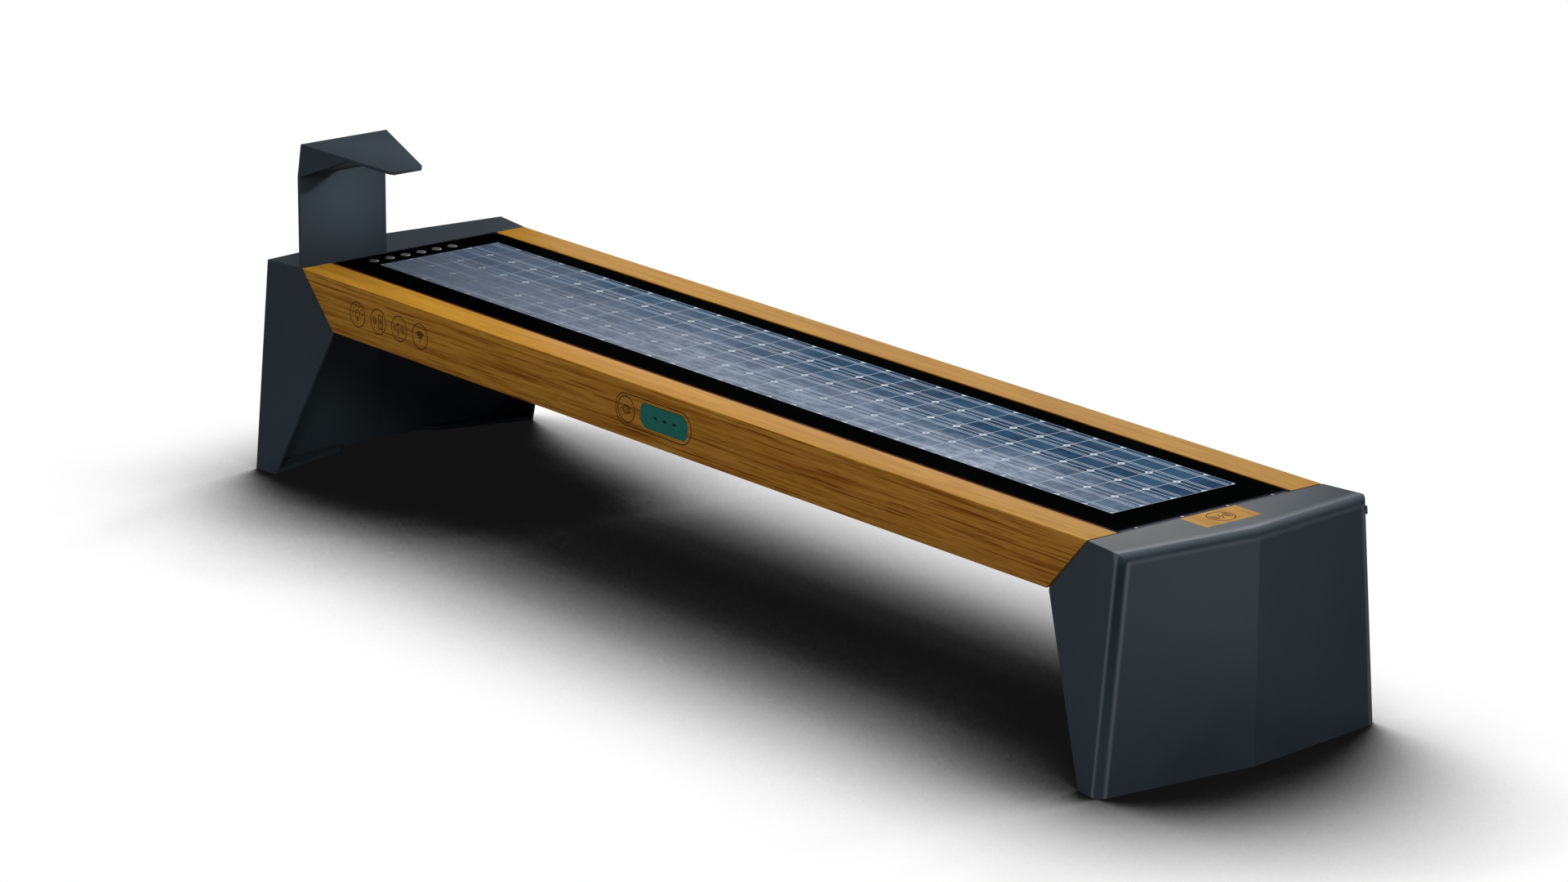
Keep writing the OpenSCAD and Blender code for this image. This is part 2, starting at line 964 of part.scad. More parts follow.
module loom_clips() {
    clip = [12, 18, 2 * (cross_z - loom_z)];
    color(black)
        for (x = cross_x)
            translate([x - clip[0] / 2, loom_y - clip[1] / 2, cross_z - clip[2]])
                difference() {
                    cube(clip);
                    translate([-cut, clip[1] / 2, clip[2] / 2])
                        rotate([0, 90, 0])
                            cylinder(r = loom_r + run_gap, h = clip[0] + 2 * cut);
                }
}

// Places children at the clamping strip's screws, on its top
module at_strip_screws() {
    for (y = strip_screw_y)
        translate([strip_x0 + strip_w / 2, y, strip_top])
            children();
}

module glass_frame() {
    x1 = half_l - end_gap;
    right_w = frame_end_w + strip_w + end_gap;
    color(zinc)
        difference() {
            translate([glass_x0, glass_y0, frame_z])
                cube([x1 - glass_x0, glass_y1 - glass_y0, frame_h]);
            translate([glass_x0 + frame_end_w, glass_y0 + frame_w, frame_z - cut])
                cube([x1 - glass_x0 - frame_end_w - right_w, glass_y1 - glass_y0 - 2 * frame_w,
                    frame_h + 2 * cut]);
            at_strip_screws()
                cylinder(r = strip_screw_r + screw_gap, h = 3 * frame_h, center = true);
        }
}

module module_back() {
    color(black)
        translate([cells_x0 - back_margin, cells_y0 - back_margin, frame_z])
            cube([cells_long * cell_pitch + 2 * back_margin,
                cells_wide * cell_pitch + 2 * back_margin, frame_h - cell_t]);
}

// A square cell with cut corners
module solar_cell() {
    a = cell / 2;
    b = a - cell_cut;
    linear_extrude(height = cell_t)
        polygon([[a, b], [b, a], [-b, a], [-a, b], [-a, -b], [-b, -a], [b, -a], [a, -b]]);
}

module solar_cells() {
    color([0.2, 0.28, 0.42])
        for (i = [0:cells_long - 1], j = [0:cells_wide - 1])
            translate([cells_x0 + (i + 0.5) * cell_pitch, cells_y0 + (j + 0.5) * cell_pitch,
                glass_z - cell_t])
                solar_cell();
}

// Places children at button number i, from the front
module at_button(i) {
    translate([button_x, button_y0 + i * button_pitch, 0])
        children();
}

module solar_glass() {
    color(black)
        difference() {
            translate([glass_x0, glass_y0, glass_z])
                cube([glass_x1 - glass_x0, glass_y1 - glass_y0, glass_t]);
            for (i = [0:button_n - 1])
                at_button(i)
                    translate([0, 0, glass_z - cut])
                        cylinder(r = button_hole, h = glass_t + 2 * cut);
        }
}

module glass_seal() {
    seal_h = glass_t - 0.5;
    color([0.16, 0.09, 0.05])
        difference() {
            translate([-half_l, -inner_y, glass_z])
                cube([rail_l, 2 * inner_y, seal_h]);
            translate([glass_x0, glass_y0, glass_z - cut])
                cube([glass_x1 - glass_x0, glass_y1 - glass_y0, seal_h + 2 * cut]);
            translate([strip_x0, glass_y0, glass_z - cut])
                cube([strip_w, glass_y1 - glass_y0, seal_h + 2 * cut]);
        }
}

module end_strip() {
    color(steel)
        difference() {
            translate([strip_x0, glass_y0, glass_z])
                cube([strip_w, glass_y1 - glass_y0, strip_top - glass_z]);
            at_strip_screws()
                cylinder(r = strip_screw_r + screw_gap, h = 3 * frame_h, center = true);
        }
}

module strip_screws() {
    head_h = 1.4;
    color("silver")
        at_strip_screws() {
            cylinder(r = 1.75 * strip_screw_r, h = head_h);
            translate([0, 0, -frame_h - glass_t / 2])
                cylinder(r = strip_screw_r, h = frame_h + glass_t / 2 + cut / 2);
        }
}

module button_bezels() {
    rim_h = 1.5;
    color("silver")
        for (i = [0:button_n - 1])
            at_button(i)
                difference() {
                    union() {
                        translate([0, 0, glass_top])
                            cylinder(r1 = bezel_r, r2 = bezel_r - 1, h = rim_h);
                        translate([0, 0, glass_z])
                            cylinder(r = button_hole - fit_gap, h = glass_t + rim_h / 2);
                    }
                    translate([0, 0, glass_z - cut])
                        cylinder(r = button_r + run_gap, h = glass_t + rim_h + 2 * cut);
                }
}

module button_switches() {
    switch_h = 13;
    pin_h = 4;
    color(black)
        for (i = [0:button_n - 1])
            at_button(i)
                translate([0, 0, glass_z - switch_h]) {
                    cylinder(r = button_hole - fit_gap, h = switch_h);
                    for (s = [-1, 1])
                        translate([s * 3, 0, -pin_h])
                            cylinder(r = 0.8, h = pin_h + cut);
                }
}

// A push button with a slightly dished cap
module button(i) {
    dish_r = 30;
    color("silver")
        at_button(i)
            difference() {
                translate([0, 0, glass_z + button_travel + 1])
                    cylinder(r = button_r, h = button_z - glass_z - button_travel - 1);
                translate([0, 0, button_z + dish_r - 0.4])
                    sphere(r = dish_r);
            }
}

// Places children at the USB plate's screws, with +Z out of its face
module at_usb_screws() {
    for (x = [-1, 1])
        translate([x * (usb_l / 2 - 8), usb_face, usb_z])
            rotate([90, 0, 0])
                children();
}

// Places children at the USB sockets
module at_ports() {
    for (i = [-1:1])
        translate([i * port_pitch, usb_back, usb_z])
            children();
}

module usb_plate() {
    color([0.1, 0.32, 0.27])
        difference() {
            translate([0, usb_face, usb_z])
                rounded_plate(usb_l, usb_h, usb_r, usb_t);
            at_ports()
                translate([-port_w / 2, -2 * usb_t, -port_h / 2])
                    cube([port_w, 4 * usb_t, port_h]);
            at_usb_screws()
                cylinder(r = usb_screw_r + screw_gap, h = 4 * usb_t, center = true);
        }
}

module usb_sockets() {
    color("silver")
        at_ports()
            difference() {
                translate([-port_w / 2 - socket_wall, 0, -port_h / 2 - socket_wall])
                    cube([port_w + 2 * socket_wall, socket_d, port_h + 2 * socket_wall]);
                translate([-port_w / 2, -cut, -port_h / 2])
                    cube([port_w, socket_d + cut - socket_wall, port_h]);
            }
}

module usb_board() {
    color("darkgreen")
        translate([-housing_l / 2 + board_inset, usb_back + socket_d,
            usb_z - housing_h / 2 + board_inset])
            cube([housing_l - 2 * board_inset, board_t, housing_h - 2 * board_inset]);
}

// An open box behind the plate; a step all round its inside carries the board
module usb_housing() {
    wall = 2;
    inner = [housing_l - 2 * wall, housing_h - 2 * wall];
    step = 2 * (board_inset - wall);
    color("dimgray")
        translate([0, usb_back, usb_z])
            difference() {
                translate([-housing_l / 2, 0, -housing_h / 2])
                    cube([housing_l, housing_d, housing_h]);
                translate([-inner[0] / 2, -cut, -inner[1] / 2])
                    cube([inner[0], socket_d + board_t + cut, inner[1]]);
                translate([-inner[0] / 2 + step, -cut, -inner[1] / 2 + step])
                    cube([inner[0] - 2 * step, housing_d - wall + cut, inner[1] - 2 * step]);
            }
}

module usb_screws() {
    head_h = 1;
    shank_l = 18;
    color("silver")
        at_usb_screws() {
            cylinder(r = 2 * usb_screw_r, h = head_h);
            translate([0, 0, -shank_l])
                cylinder(r = usb_screw_r, h = shank_l + head_h / 2);
        }
}

module charging_inlay() {
    color(timber)
        translate([half_l, -inlay_w / 2 + fit_gap, seat_h - leg_t])
            cube([inlay_l - fit_gap, inlay_w - 2 * fit_gap, leg_t]);
}

module charging_module() {
    size = [inlay_l + 16, inlay_w + 16, 13];
    boss_r = 24;
    color("dimgray")
        translate([half_l, 0, seat_h - leg_t - size[2]]) {
            translate([0, -size[1] / 2, 0])
                cube(size);
            translate([inlay_l / 2, 0, -4])
                cylinder(r = boss_r, h = 5);
        }
}

// The plug's place: out of the middle of the right leg's back fold
module plug_place() {
    side_n = side_normal(1);
    end_n = end_normal(1);
    apex = meet(side_n, side_dist, end_n, end_dist, [0, 0, 1], seat_h - plug_drop);
    out = (side_n + end_n) / norm(side_n + end_n);
    centre = apex - right_bend_r * (side_n + end_n) / (1 + side_n * end_n);
    translate(centre + right_bend_r * out)
        rotate([0, acos(out[2]), atan2(out[1], out[0])])
            children();
}

module side_plug() {
    color(black)
        plug_place() {
            translate([0, 0, seal_gap])
                cylinder(r = plug_r + 2, h = 3);
            translate([0, 0, -leg_t])
                cylinder(r = plug_r, h = leg_t + 2);
        }
}

module lamp_post() {
    color(steel) {
        translate([post_x, post_y, seat_h])
            cube([post_t, post_w, post_h]);
        translate([post_x, post_mid - tongue_w / 2, seat_h - leg_t - post_t])
            cube([post_t, tongue_w, leg_t + post_t]);
        difference() {
            translate([post_x - foot_l, post_mid - tongue_w / 2, seat_h - leg_t - post_t])
                cube([foot_l + cut, tongue_w, post_t]);
            at_post_bolts()
                cylinder(r = post_bolt_r + screw_gap, h = 3 * post_t, center = true);
        }
    }
}

// Places children at the studs that hold the post's foot under the leg's top
module at_post_bolts() {
    for (x = [post_x - foot_l * 0.35, post_x - foot_l * 0.72], s = [-1, 1])
        translate([x, post_mid + s * tongue_w * 0.36, seat_h - leg_t])
            children();
}

module post_bolts() {
    nut_h = 6.5;
    color(zinc)
        at_post_bolts() {
            translate([0, 0, -post_t - nut_h - 2])
                cylinder(r = post_bolt_r, h = post_t + nut_h + 2);
            translate([0, 0, -post_t - nut_h])
                cylinder(r = 1.8 * post_bolt_r, h = nut_h, $fn = 6);
        }
}

// Extrudes a side outline of the hood across its width
module hood_side(points) {
    translate([0, post_mid + post_w / 2, 0])
        rotate([90, 0, 0])
            linear_extrude(height = post_w)
                polygon(points);
}

// The hood seen from above: it narrows from the ridge to the tip
module hood_plan(inset) {
    snip = 8;
    a = post_w / 2 - inset;
    b = canopy_tip_w / 2 - inset;
    translate([0, post_mid, post_top - cut])
        linear_extrude(height = hood_h + 2 * cut)
            polygon([[post_x - cut, -a], [ridge[0], -a], [tip[0] - snip, -b - 2],
                [tip[0], -b + snip - 2], [tip[0], b - snip + 2], [tip[0] - snip, b + 2],
                [ridge[0], a], [post_x - cut, a]]);
}

// The underside's frame: x out along it from the post, z into the hood
module at_underside() {
    translate([hood_front[0], post_mid, hood_front[1]])
        rotate([0, -under_tilt, 0])
            children();
}

module lamp_hood() {
    middle = (hood_back + ridge + throat) / 3;
    hollow = [for (p = [hood_back, ridge, throat]) middle + 0.78 * (p - middle)];
    wall = 3;
    color(steel)
        difference() {
            intersection() {
                hood_side([hood_back, ridge, tip, [tip[0], tip[1] - canopy_t], throat, hood_front]);
                hood_plan(0);
            }
            intersection() {
                hood_side(hollow);
                hood_plan(wall);
            }
            at_underside()
                translate([lens_x - fit_gap, -lens_w / 2 - fit_gap, -cut])
                    cube([lens_l + 2 * fit_gap, lens_w + 2 * fit_gap, cut + lamp_stack + fit_gap]);
        }
}

module lamp_lens() {
    color([0.9, 0.92, 0.9])
        at_underside()
            translate([lens_x, -lens_w / 2, 0])
                cube([lens_l, lens_w, lens_t]);
}

module led_board() {
    leds = 5;
    color("white")
        at_underside()
            translate([lens_x, -lens_w / 2, lens_t]) {
                translate([0, 0, led_t])
                    cube([lens_l, lens_w, board_t]);
                for (i = [0:leds - 1])
                    translate([lens_l / 2 - 10, (i + 0.5) * lens_w / leds - 4, 0])
                        cube([20, 8, led_t + board_t / 2]);
            }
}

left_leg();
right_leg();
left_base_plates();
right_base_plates();
left_bulkhead();
right_bulkhead();
front_beam();
back_beam();
cross_tubes();
beam_end_plates();
bulkhead_bolts();
front_rail_top();
front_rail_bottom();
front_rail_left();
front_rail_right();
back_rail();
rail_screws();
belly_tray();
tray_screws();
service_hatch();
hatch_pin();
lock_housings();
left_lock();
right_lock();
battery_pack();
battery_straps();
charge_controller();
network_router();
loudspeakers();
wiring_loom();
loom_clips();
glass_frame();
module_back();
solar_cells();
solar_glass();
glass_seal();
end_strip();
strip_screws();
button_bezels();
button_switches();
button(0);  // button_1
button(1);  // button_2
button(2);  // button_3
button(3);  // button_4
button(4);  // button_5
button(5);  // button_6
usb_plate();
usb_sockets();
usb_board();
usb_housing();
usb_screws();
charging_inlay();
charging_module();
side_plug();
lamp_post();
post_bolts();
lamp_hood();
lamp_lens();
led_board();
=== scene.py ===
"""Solar charging bench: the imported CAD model, dressed and set in a white studio."""
import json
import math

import bmesh
import bpy
from mathutils import Matrix, Vector
from mathutils.geometry import intersect_point_line


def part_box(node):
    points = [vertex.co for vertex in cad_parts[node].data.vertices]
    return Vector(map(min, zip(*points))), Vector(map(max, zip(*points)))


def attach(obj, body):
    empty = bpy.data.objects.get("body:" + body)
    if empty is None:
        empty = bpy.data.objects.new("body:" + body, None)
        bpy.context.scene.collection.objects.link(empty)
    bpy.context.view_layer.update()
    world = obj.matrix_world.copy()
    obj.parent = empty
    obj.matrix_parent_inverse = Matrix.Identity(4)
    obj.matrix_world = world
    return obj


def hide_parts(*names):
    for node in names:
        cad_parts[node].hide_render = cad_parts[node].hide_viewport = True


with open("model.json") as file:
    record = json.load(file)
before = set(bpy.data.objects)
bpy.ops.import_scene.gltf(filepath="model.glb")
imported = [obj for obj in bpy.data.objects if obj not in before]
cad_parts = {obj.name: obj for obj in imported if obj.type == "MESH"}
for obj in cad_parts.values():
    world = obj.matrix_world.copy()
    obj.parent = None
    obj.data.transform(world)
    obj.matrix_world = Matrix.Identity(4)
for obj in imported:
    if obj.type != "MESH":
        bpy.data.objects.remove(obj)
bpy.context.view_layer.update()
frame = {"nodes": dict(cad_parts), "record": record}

# The solar cells as they show, in metres: side, gap and cut corner; count along and across
CELL = 0.0749
CELL_GAP = 0.0016
CELL_PITCH = CELL + CELL_GAP
CELL_CUT = 0.008
CELLS = (30, 4)
# Thickness of a printed layer, and how far a burnt line stands proud
LAYER = 0.00006
LINE_PROUD = 0.00012
# The front rail, from the CAD, with the run of its mitre and the radius of its long edges
RAIL_LOW, RAIL_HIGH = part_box("front_rail_top")
SEAT_TOP = RAIL_HIGH.z
RAIL_FACE = RAIL_LOW.y
RAIL_BACK = RAIL_HIGH.y
RAIL_END = RAIL_HIGH.x
RAIL_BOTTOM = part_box("front_rail_bottom")[0].z
RAIL_MIDDLE = (SEAT_TOP + RAIL_BOTTOM) / 2
RAIL_MITRE = 0.109
RAIL_EDGE = 0.002
# The top of the glass, and the distance from one USB socket to the next
GLASS_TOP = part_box("solar_glass")[1].z
USB_PITCH = 0.03
# The steepest step between two facets of one fold, and the width of a fold's painted highlight line
FOLD_ANGLE = math.radians(8)
FOLD_HIGHLIGHT_WIDTH = 0.006
# The floor's shadow: lean of the light that makes it towards -X and +Y, reach, and
# the shares of open sky between which it runs from dark to white
SHADOW_LEAN = (math.radians(25), math.radians(25))
SHADOW_REACH = 0.8
SHADOW_RANGE = (0.52, 0.93)
# The photograph's camera: focal length in pixels of a frame 1920 wide, place in metres, and
# its turn from +Y towards -X, its dip and its roll in degrees
PHOTO_WIDTH = 1920
FOCAL_PIXELS = 7323.165
CAMERA_PLACE = (8.824042, -7.124264, 3.583666)
CAMERA_TURNS = (51.0374, 16.1361, 0.2133)


# Node helpers


def rgb(red, green, blue):
    """An sRGB colour of 0 to 255 as linear RGBA."""
    linear = []
    for value in (red, green, blue):
        v = value / 255
        linear.append(v / 12.92 if v <= 0.04045 else ((v + 0.055) / 1.055) ** 2.4)
    return (*linear, 1.0)


def add(tree, kind, inputs=None, **settings):
    """A new node with its settings and input values."""
    node = tree.nodes.new(kind)
    for key, value in settings.items():
        setattr(node, key, value)
    for key, value in (inputs or {}).items():
        if isinstance(value, bpy.types.NodeSocket):
            tree.links.new(value, node.inputs[key])
        else:
            node.inputs[key].default_value = value
    return node


def start(name, colour, roughness, metallic=0.0, **sockets):
    """A material with its shader; further sockets by their names with underscores."""
    material = bpy.data.materials.new(name)
    material.use_nodes = True
    tree = material.node_tree
    shader = tree.nodes["Principled BSDF"]
    shader.inputs["Base Color"].default_value = colour
    shader.inputs["Roughness"].default_value = roughness
    shader.inputs["Metallic"].default_value = metallic
    for key, value in sockets.items():
        shader.inputs[key.replace("_", " ")].default_value = value
    return material, tree, shader


def point(tree, stretch=(1, 1, 1), offset=(0, 0, 0)):
    """Object coordinates, stretched and moved."""
    where = add(tree, "ShaderNodeTexCoord")
    mapping = add(tree, "ShaderNodeMapping", {"Vector": where.outputs["Object"],
                                              "Scale": stretch, "Location": offset})
    return mapping.outputs["Vector"]


def noise(tree, scale, stretch=(1, 1, 1), detail=3.0, roughness=0.5, distortion=0.0,
          offset=(0, 0, 0)):
    """A noise value from 0 to 1 on object coordinates."""
    node = add(tree, "ShaderNodeTexNoise",
               {"Vector": point(tree, stretch, offset), "Scale": scale, "Detail": detail,
                "Roughness": roughness, "Distortion": distortion})
    return node.outputs["Fac"]


def coordinates(tree):
    """Object coordinates as separate X, Y and Z values."""
    return add(tree, "ShaderNodeSeparateXYZ", {0: point(tree)}).outputs


def levels(tree, value, low, high, out_low=0.0, out_high=1.0):
    """Maps a value's range from low..high to out_low..out_high, clamped."""
    node = add(tree, "ShaderNodeMapRange",
               {"Value": value, "From Min": low, "From Max": high,
                "To Min": out_low, "To Max": out_high})
    return node.outputs["Result"]


def calc(tree, operation, first, second=0.0, third=0.0):
    """One step of arithmetic on values."""
    node = add(tree, "ShaderNodeMath", {0: first, 1: second, 2: third}, operation=operation)
    return node.outputs[0]


def mix(tree, factor, first, second, blend="MIX"):
    """Mixes two colours by a factor."""
    node = add(tree, "ShaderNodeMix", data_type="RGBA", blend_type=blend)
    for socket, value in ((node.inputs[0], factor), (node.inputs[6], first),
                          (node.inputs[7], second)):
        if isinstance(value, bpy.types.NodeSocket):
            tree.links.new(value, socket)
        else:
            socket.default_value = value
    return node.outputs[2]


def scaled(colour, share):
    """A colour made darker or lighter by a share."""
    return tuple(min(share * value, 1.0) for value in colour[:3]) + (1.0,)


def colour_by(tree, shader, colour):
    """Makes a node's colour the base colour."""
    tree.links.new(colour, shader.inputs["Base Color"])


def roughness_by(tree, shader, value):
    """Makes a node's value the roughness."""
    tree.links.new(value, shader.inputs["Roughness"])


def relief(tree, shader, height, distance, strength=1.0):
    """Bump from a height value; distance in metres."""
    bump = add(tree, "ShaderNodeBump",
               {"Height": height, "Distance": distance, "Strength": strength})
    tree.links.new(bump.outputs["Normal"], shader.inputs["Normal"])


# Materials


def powder_coat(name, colour):
    """Fine-textured anthracite powder coat, with painted highlight lines where folds begin and
    painted shade on the upright folds between.
    """
    material, tree, shader = start(name, colour, 0.42, Specular_IOR_Level=0.025)
    cloud = noise(tree, 3.5, detail=4)
    speckle = noise(tree, 900, detail=2)
    tone = mix(tree, levels(tree, cloud, 0.3, 0.7), scaled(colour, 0.86), scaled(colour, 1.16))
    tone = mix(tree, levels(tree, speckle, 0.45, 0.75, 0.0, 0.25), tone, scaled(colour, 1.5))
    # Painted highlight lines where the near leg's round folds begin, and painted shade on its
    # upright folds
    fold = add(tree, "ShaderNodeAttribute", attribute_name="fold_highlight_and_shade").outputs["Fac"]
    tone = mix(tree, levels(tree, fold, 0.0, 1.0), tone, rgb(142, 148, 156))
    tone = mix(tree, levels(tree, fold, 0.0, -1.0), tone, rgb(18, 26, 30))
    colour_by(tree, shader, tone)
    roughness_by(tree, shader, levels(tree, cloud, 0.3, 0.7, 0.36, 0.46))
    relief(tree, shader, speckle, 0.00002, 0.35)
    return material


def oiled_timber(name, offset):
    """Oiled timber with its grain along X: plain on top, streaked on its sides.

    It runs from golden at the lamp's end to tan on top and brown on the sides at the other: painted
    light, the tan standing in for sheen, and the front rail's tops painted lighter than the back's;
    the sides are painted darker and redder than the tops as shade.
    """
    material, tree, shader = start(name, rgb(170, 112, 42), 0.5, Specular_IOR_Level=0.01)
    facing = add(tree, "ShaderNodeSeparateXYZ",
                 {0: add(tree, "ShaderNodeNewGeometry").outputs["Normal"]})
    upright = levels(tree, calc(tree, "ABSOLUTE", facing.outputs["Z"]), 0.9, 0.4, 0.35, 1.0)
    flow = noise(tree, 1.0, (0.9, 11, 17), detail=3, roughness=0.45, distortion=0.25,
                 offset=offset)
    bands = calc(tree, "SINE", calc(tree, "MULTIPLY", flow, 46.0))
    fibres = noise(tree, 1.0, (14, 520, 620), detail=4, roughness=0.65, offset=offset)
    pores = noise(tree, 1.0, (24, 800, 800), detail=2, offset=offset)
    streaks = noise(tree, 1.0, (3.0, 90, 110), detail=4, roughness=0.6, offset=offset)
    veins = noise(tree, 1.0, (5.0, 300, 300), detail=3, roughness=0.55, offset=offset)
    boards = noise(tree, 1.0, (0.7, 3, 4), detail=2, offset=offset)
    tone = mix(tree, levels(tree, bands, -1.0, 1.0), rgb(180, 134, 54), rgb(170, 122, 46))
    tone = mix(tree, levels(tree, fibres, 0.35, 0.7, 0.0, 0.35), tone, rgb(146, 96, 34))
    tone = mix(tree, levels(tree, boards, 0.35, 0.7, 0.0, 0.35), tone, rgb(192, 146, 68))
    for value, low, high, strength, dark in ((streaks, 0.46, 0.66, 0.85, rgb(128, 78, 20)),
                                             (veins, 0.54, 0.66, 0.95, rgb(104, 60, 14)),
                                             (pores, 0.62, 0.72, 0.6, rgb(78, 44, 14))):
        share = calc(tree, "MULTIPLY", levels(tree, value, low, high, 0.0, strength), upright)
        tone = mix(tree, share, tone, dark)
    # Painted shade: the sides darker and redder than the tops
    tone = mix(tree, levels(tree, upright, 0.35, 1.0, 0.0, 0.2), tone, rgb(86, 18, 0))
    # Painted light by place: a paler painted sheen on the tops towards the near end, the front
    # rail's tops painted lighter than the back's, and the sides darker towards the near end
    place = coordinates(tree)
    back = levels(tree, place["Y"], -0.05, 0.05)
    near = levels(tree, place["X"], -0.5, 1.3)
    golden = mix(tree, back, (1.1, 1.06, 0.66, 1.0), (0.92, 0.88, 0.45, 1.0))
    top = mix(tree, near, golden, (0.92, 0.95, 1.0, 1.0))
    side = mix(tree, near, (1.0, 1.0, 0.9, 1.0), (0.87, 0.82, 0.9, 1.0))
    painted_light_tint = mix(tree, levels(tree, upright, 0.35, 1.0), top, side)
    colour_by(tree, shader, mix(tree, 1.0, tone, painted_light_tint, "MULTIPLY"))
    roughness_by(tree, shader, levels(tree, fibres, 0.3, 0.7, 0.42, 0.56))
    relief(tree, shader, fibres, 0.00012, 0.4)
    return material


def black_glass():
    """The printed border of the solar glass, with a low-reflection coating."""
    material, tree, shader = start("black_glass", rgb(1, 2, 2), 0.07, Specular_IOR_Level=0.0,
                                   Coat_Weight=0.001, Coat_Roughness=0.03)
    film = noise(tree, 9, (0.5, 1, 1), detail=5)
    colour_by(tree, shader, mix(tree, levels(tree, film, 0.45, 0.8), rgb(0, 2, 1), rgb(2, 5, 4)))
    roughness_by(tree, shader, levels(tree, film, 0.3, 0.8, 0.05, 0.16))
    relief(tree, shader, noise(tree, 2.0, detail=2), 0.0002, 0.05)
    return material


def glare_share(tree):
    """How much painted reflection, a pale cloudy glare, lies over the cells: more towards the front
    and the lamp.
    """
    place = coordinates(tree)
    along = calc(tree, "MULTIPLY", place["X"], -0.36)
    across = calc(tree, "MULTIPLY", place["Y"], -2.9)
    cloud = levels(tree, noise(tree, 4.0, (0.6, 1.6, 1), detail=5, roughness=0.6), 0.3, 0.7,
                   -0.35, 0.35)
    total = calc(tree, "ADD", calc(tree, "ADD", along, across), cloud)
    return levels(tree, total, -0.45, 0.35)


def glare_and_marks(tree, colour, film):
    """Lays the painted reflection, a pale mottled glare, and its dark marks over a colour."""
    smear = noise(tree, 26, (1, 1.7, 1), detail=6, roughness=0.65, distortion=0.8)
    marks = noise(tree, 130, (0.8, 1.3, 1), detail=4, roughness=0.7, distortion=0.6)
    # Painted reflection: the glare's colour is darker towards the lamp's end
    glare_tone = mix(tree, levels(tree, coordinates(tree)["X"], -1.1, 0.5), rgb(94, 102, 116),
                rgb(174, 185, 202))
    glare_colour = mix(tree, levels(tree, smear, 0.35, 0.68, 0.0, 0.75), glare_tone, rgb(94, 98, 112))
    tone = mix(tree, calc(tree, "MULTIPLY", film, 0.78), colour, glare_colour)
    spots = calc(tree, "MULTIPLY", levels(tree, marks, 0.56, 0.72), levels(tree, smear, 0.45, 0.62))
    return mix(tree, calc(tree, "MULTIPLY", spots, 0.5), tone, rgb(52, 56, 66))


def silicon():
    """Blue-grey solar cells under a painted reflection, a pale cloudy glare; each cell has its own
    shade.
    """
    material, tree, shader = start("silicon", rgb(70, 95, 125), 0.3, Specular_IOR_Level=0.0,
                                   Coat_Weight=0.001, Coat_Roughness=0.03)
    centre = cell_centre()
    origin = (-centre.x / CELL_PITCH + CELLS[0] / 2, -centre.y / CELL_PITCH + CELLS[1] / 2, 0)
    per_cell = point(tree, (1 / CELL_PITCH, 1 / CELL_PITCH, 0), origin)
    number = add(tree, "ShaderNodeVectorMath", {0: per_cell}, operation="FLOOR")
    shade = add(tree, "ShaderNodeTexWhiteNoise", {"Vector": number.outputs[0]}).outputs["Value"]
    bloom = noise(tree, 22, (1, 1, 1), detail=4, roughness=0.6)
    tone = mix(tree, shade, rgb(30, 49, 74), rgb(58, 84, 108))
    tone = mix(tree, levels(tree, bloom, 0.35, 0.7, 0.0, 0.6), tone, rgb(50, 90, 116))
    colour_by(tree, shader, glare_and_marks(tree, tone, glare_share(tree)))
    roughness_by(tree, shader, levels(tree, bloom, 0.3, 0.7, 0.24, 0.4))
    relief(tree, shader, noise(tree, 300, detail=2), 0.00002, 0.3)
    return material


def printed_silver(name, colour):
    """The pale lines and the backing sheet between the cells, under more painted glare near the
    lamp.
    """
    material, tree, shader = start(name, colour, 0.35, Specular_IOR_Level=0.0,
                                   Coat_Weight=0.001, Coat_Roughness=0.03)
    worn = noise(tree, 60, detail=3)
    tone = mix(tree, levels(tree, worn, 0.4, 0.7, 0.0, 0.3), colour, rgb(160, 170, 182))
    patches = noise(tree, 9, (0.8, 1.6, 1), detail=3)
    reach = calc(tree, "ADD", coordinates(tree)["X"],
                 levels(tree, patches, 0.35, 0.65, -0.3, 0.9))
    # More painted reflection towards the lamp's end
    glare_cover = levels(tree, reach, 0.1, -0.9, 0.55, 1.25)
    film = calc(tree, "MULTIPLY", glare_share(tree), glare_cover)
    colour_by(tree, shader, glare_and_marks(tree, tone, film))
    relief(tree, shader, worn, 0.00002, 0.2)
    return material


def plain_finish(name, colour, roughness, metallic, scale, stretch=(1, 1, 1), depth=0.00003,
                 spread=0.18, **sockets):
    """A finish with small changes of tone, gloss and height at one scale."""
    material, tree, shader = start(name, colour, roughness, metallic, **sockets)
    grain = noise(tree, scale, stretch, detail=4)
    patches = noise(tree, 12, detail=3)
    both = calc(tree, "MULTIPLY_ADD", grain, 0.6, calc(tree, "MULTIPLY", patches, 0.4))
    colour_by(tree, shader, mix(tree, levels(tree, both, 0.3, 0.7), scaled(colour, 1 - spread),
                                scaled(colour, 1 + spread)))
    roughness_by(tree, shader, levels(tree, both, 0.3, 0.7, 0.85 * roughness,
                                      min(1.15 * roughness, 1.0)))
    relief(tree, shader, grain, depth, 0.5)
    return material


def galvanised():
    """Hot-dip zinc with its crystal pattern."""
    material, tree, shader = start("galvanised", rgb(150, 154, 158), 0.5, 0.85)
    cells = add(tree, "ShaderNodeTexVoronoi", {"Vector": point(tree), "Scale": 90.0})
    crystal = add(tree, "ShaderNodeSeparateColor", {0: cells.outputs["Color"]}).outputs[0]
    colour_by(tree, shader, mix(tree, crystal, rgb(132, 137, 142), rgb(168, 172, 176)))
    roughness_by(tree, shader, levels(tree, crystal, 0.0, 1.0, 0.42, 0.6))
    relief(tree, shader, noise(tree, 200, detail=3), 0.00004, 0.4)
    return material


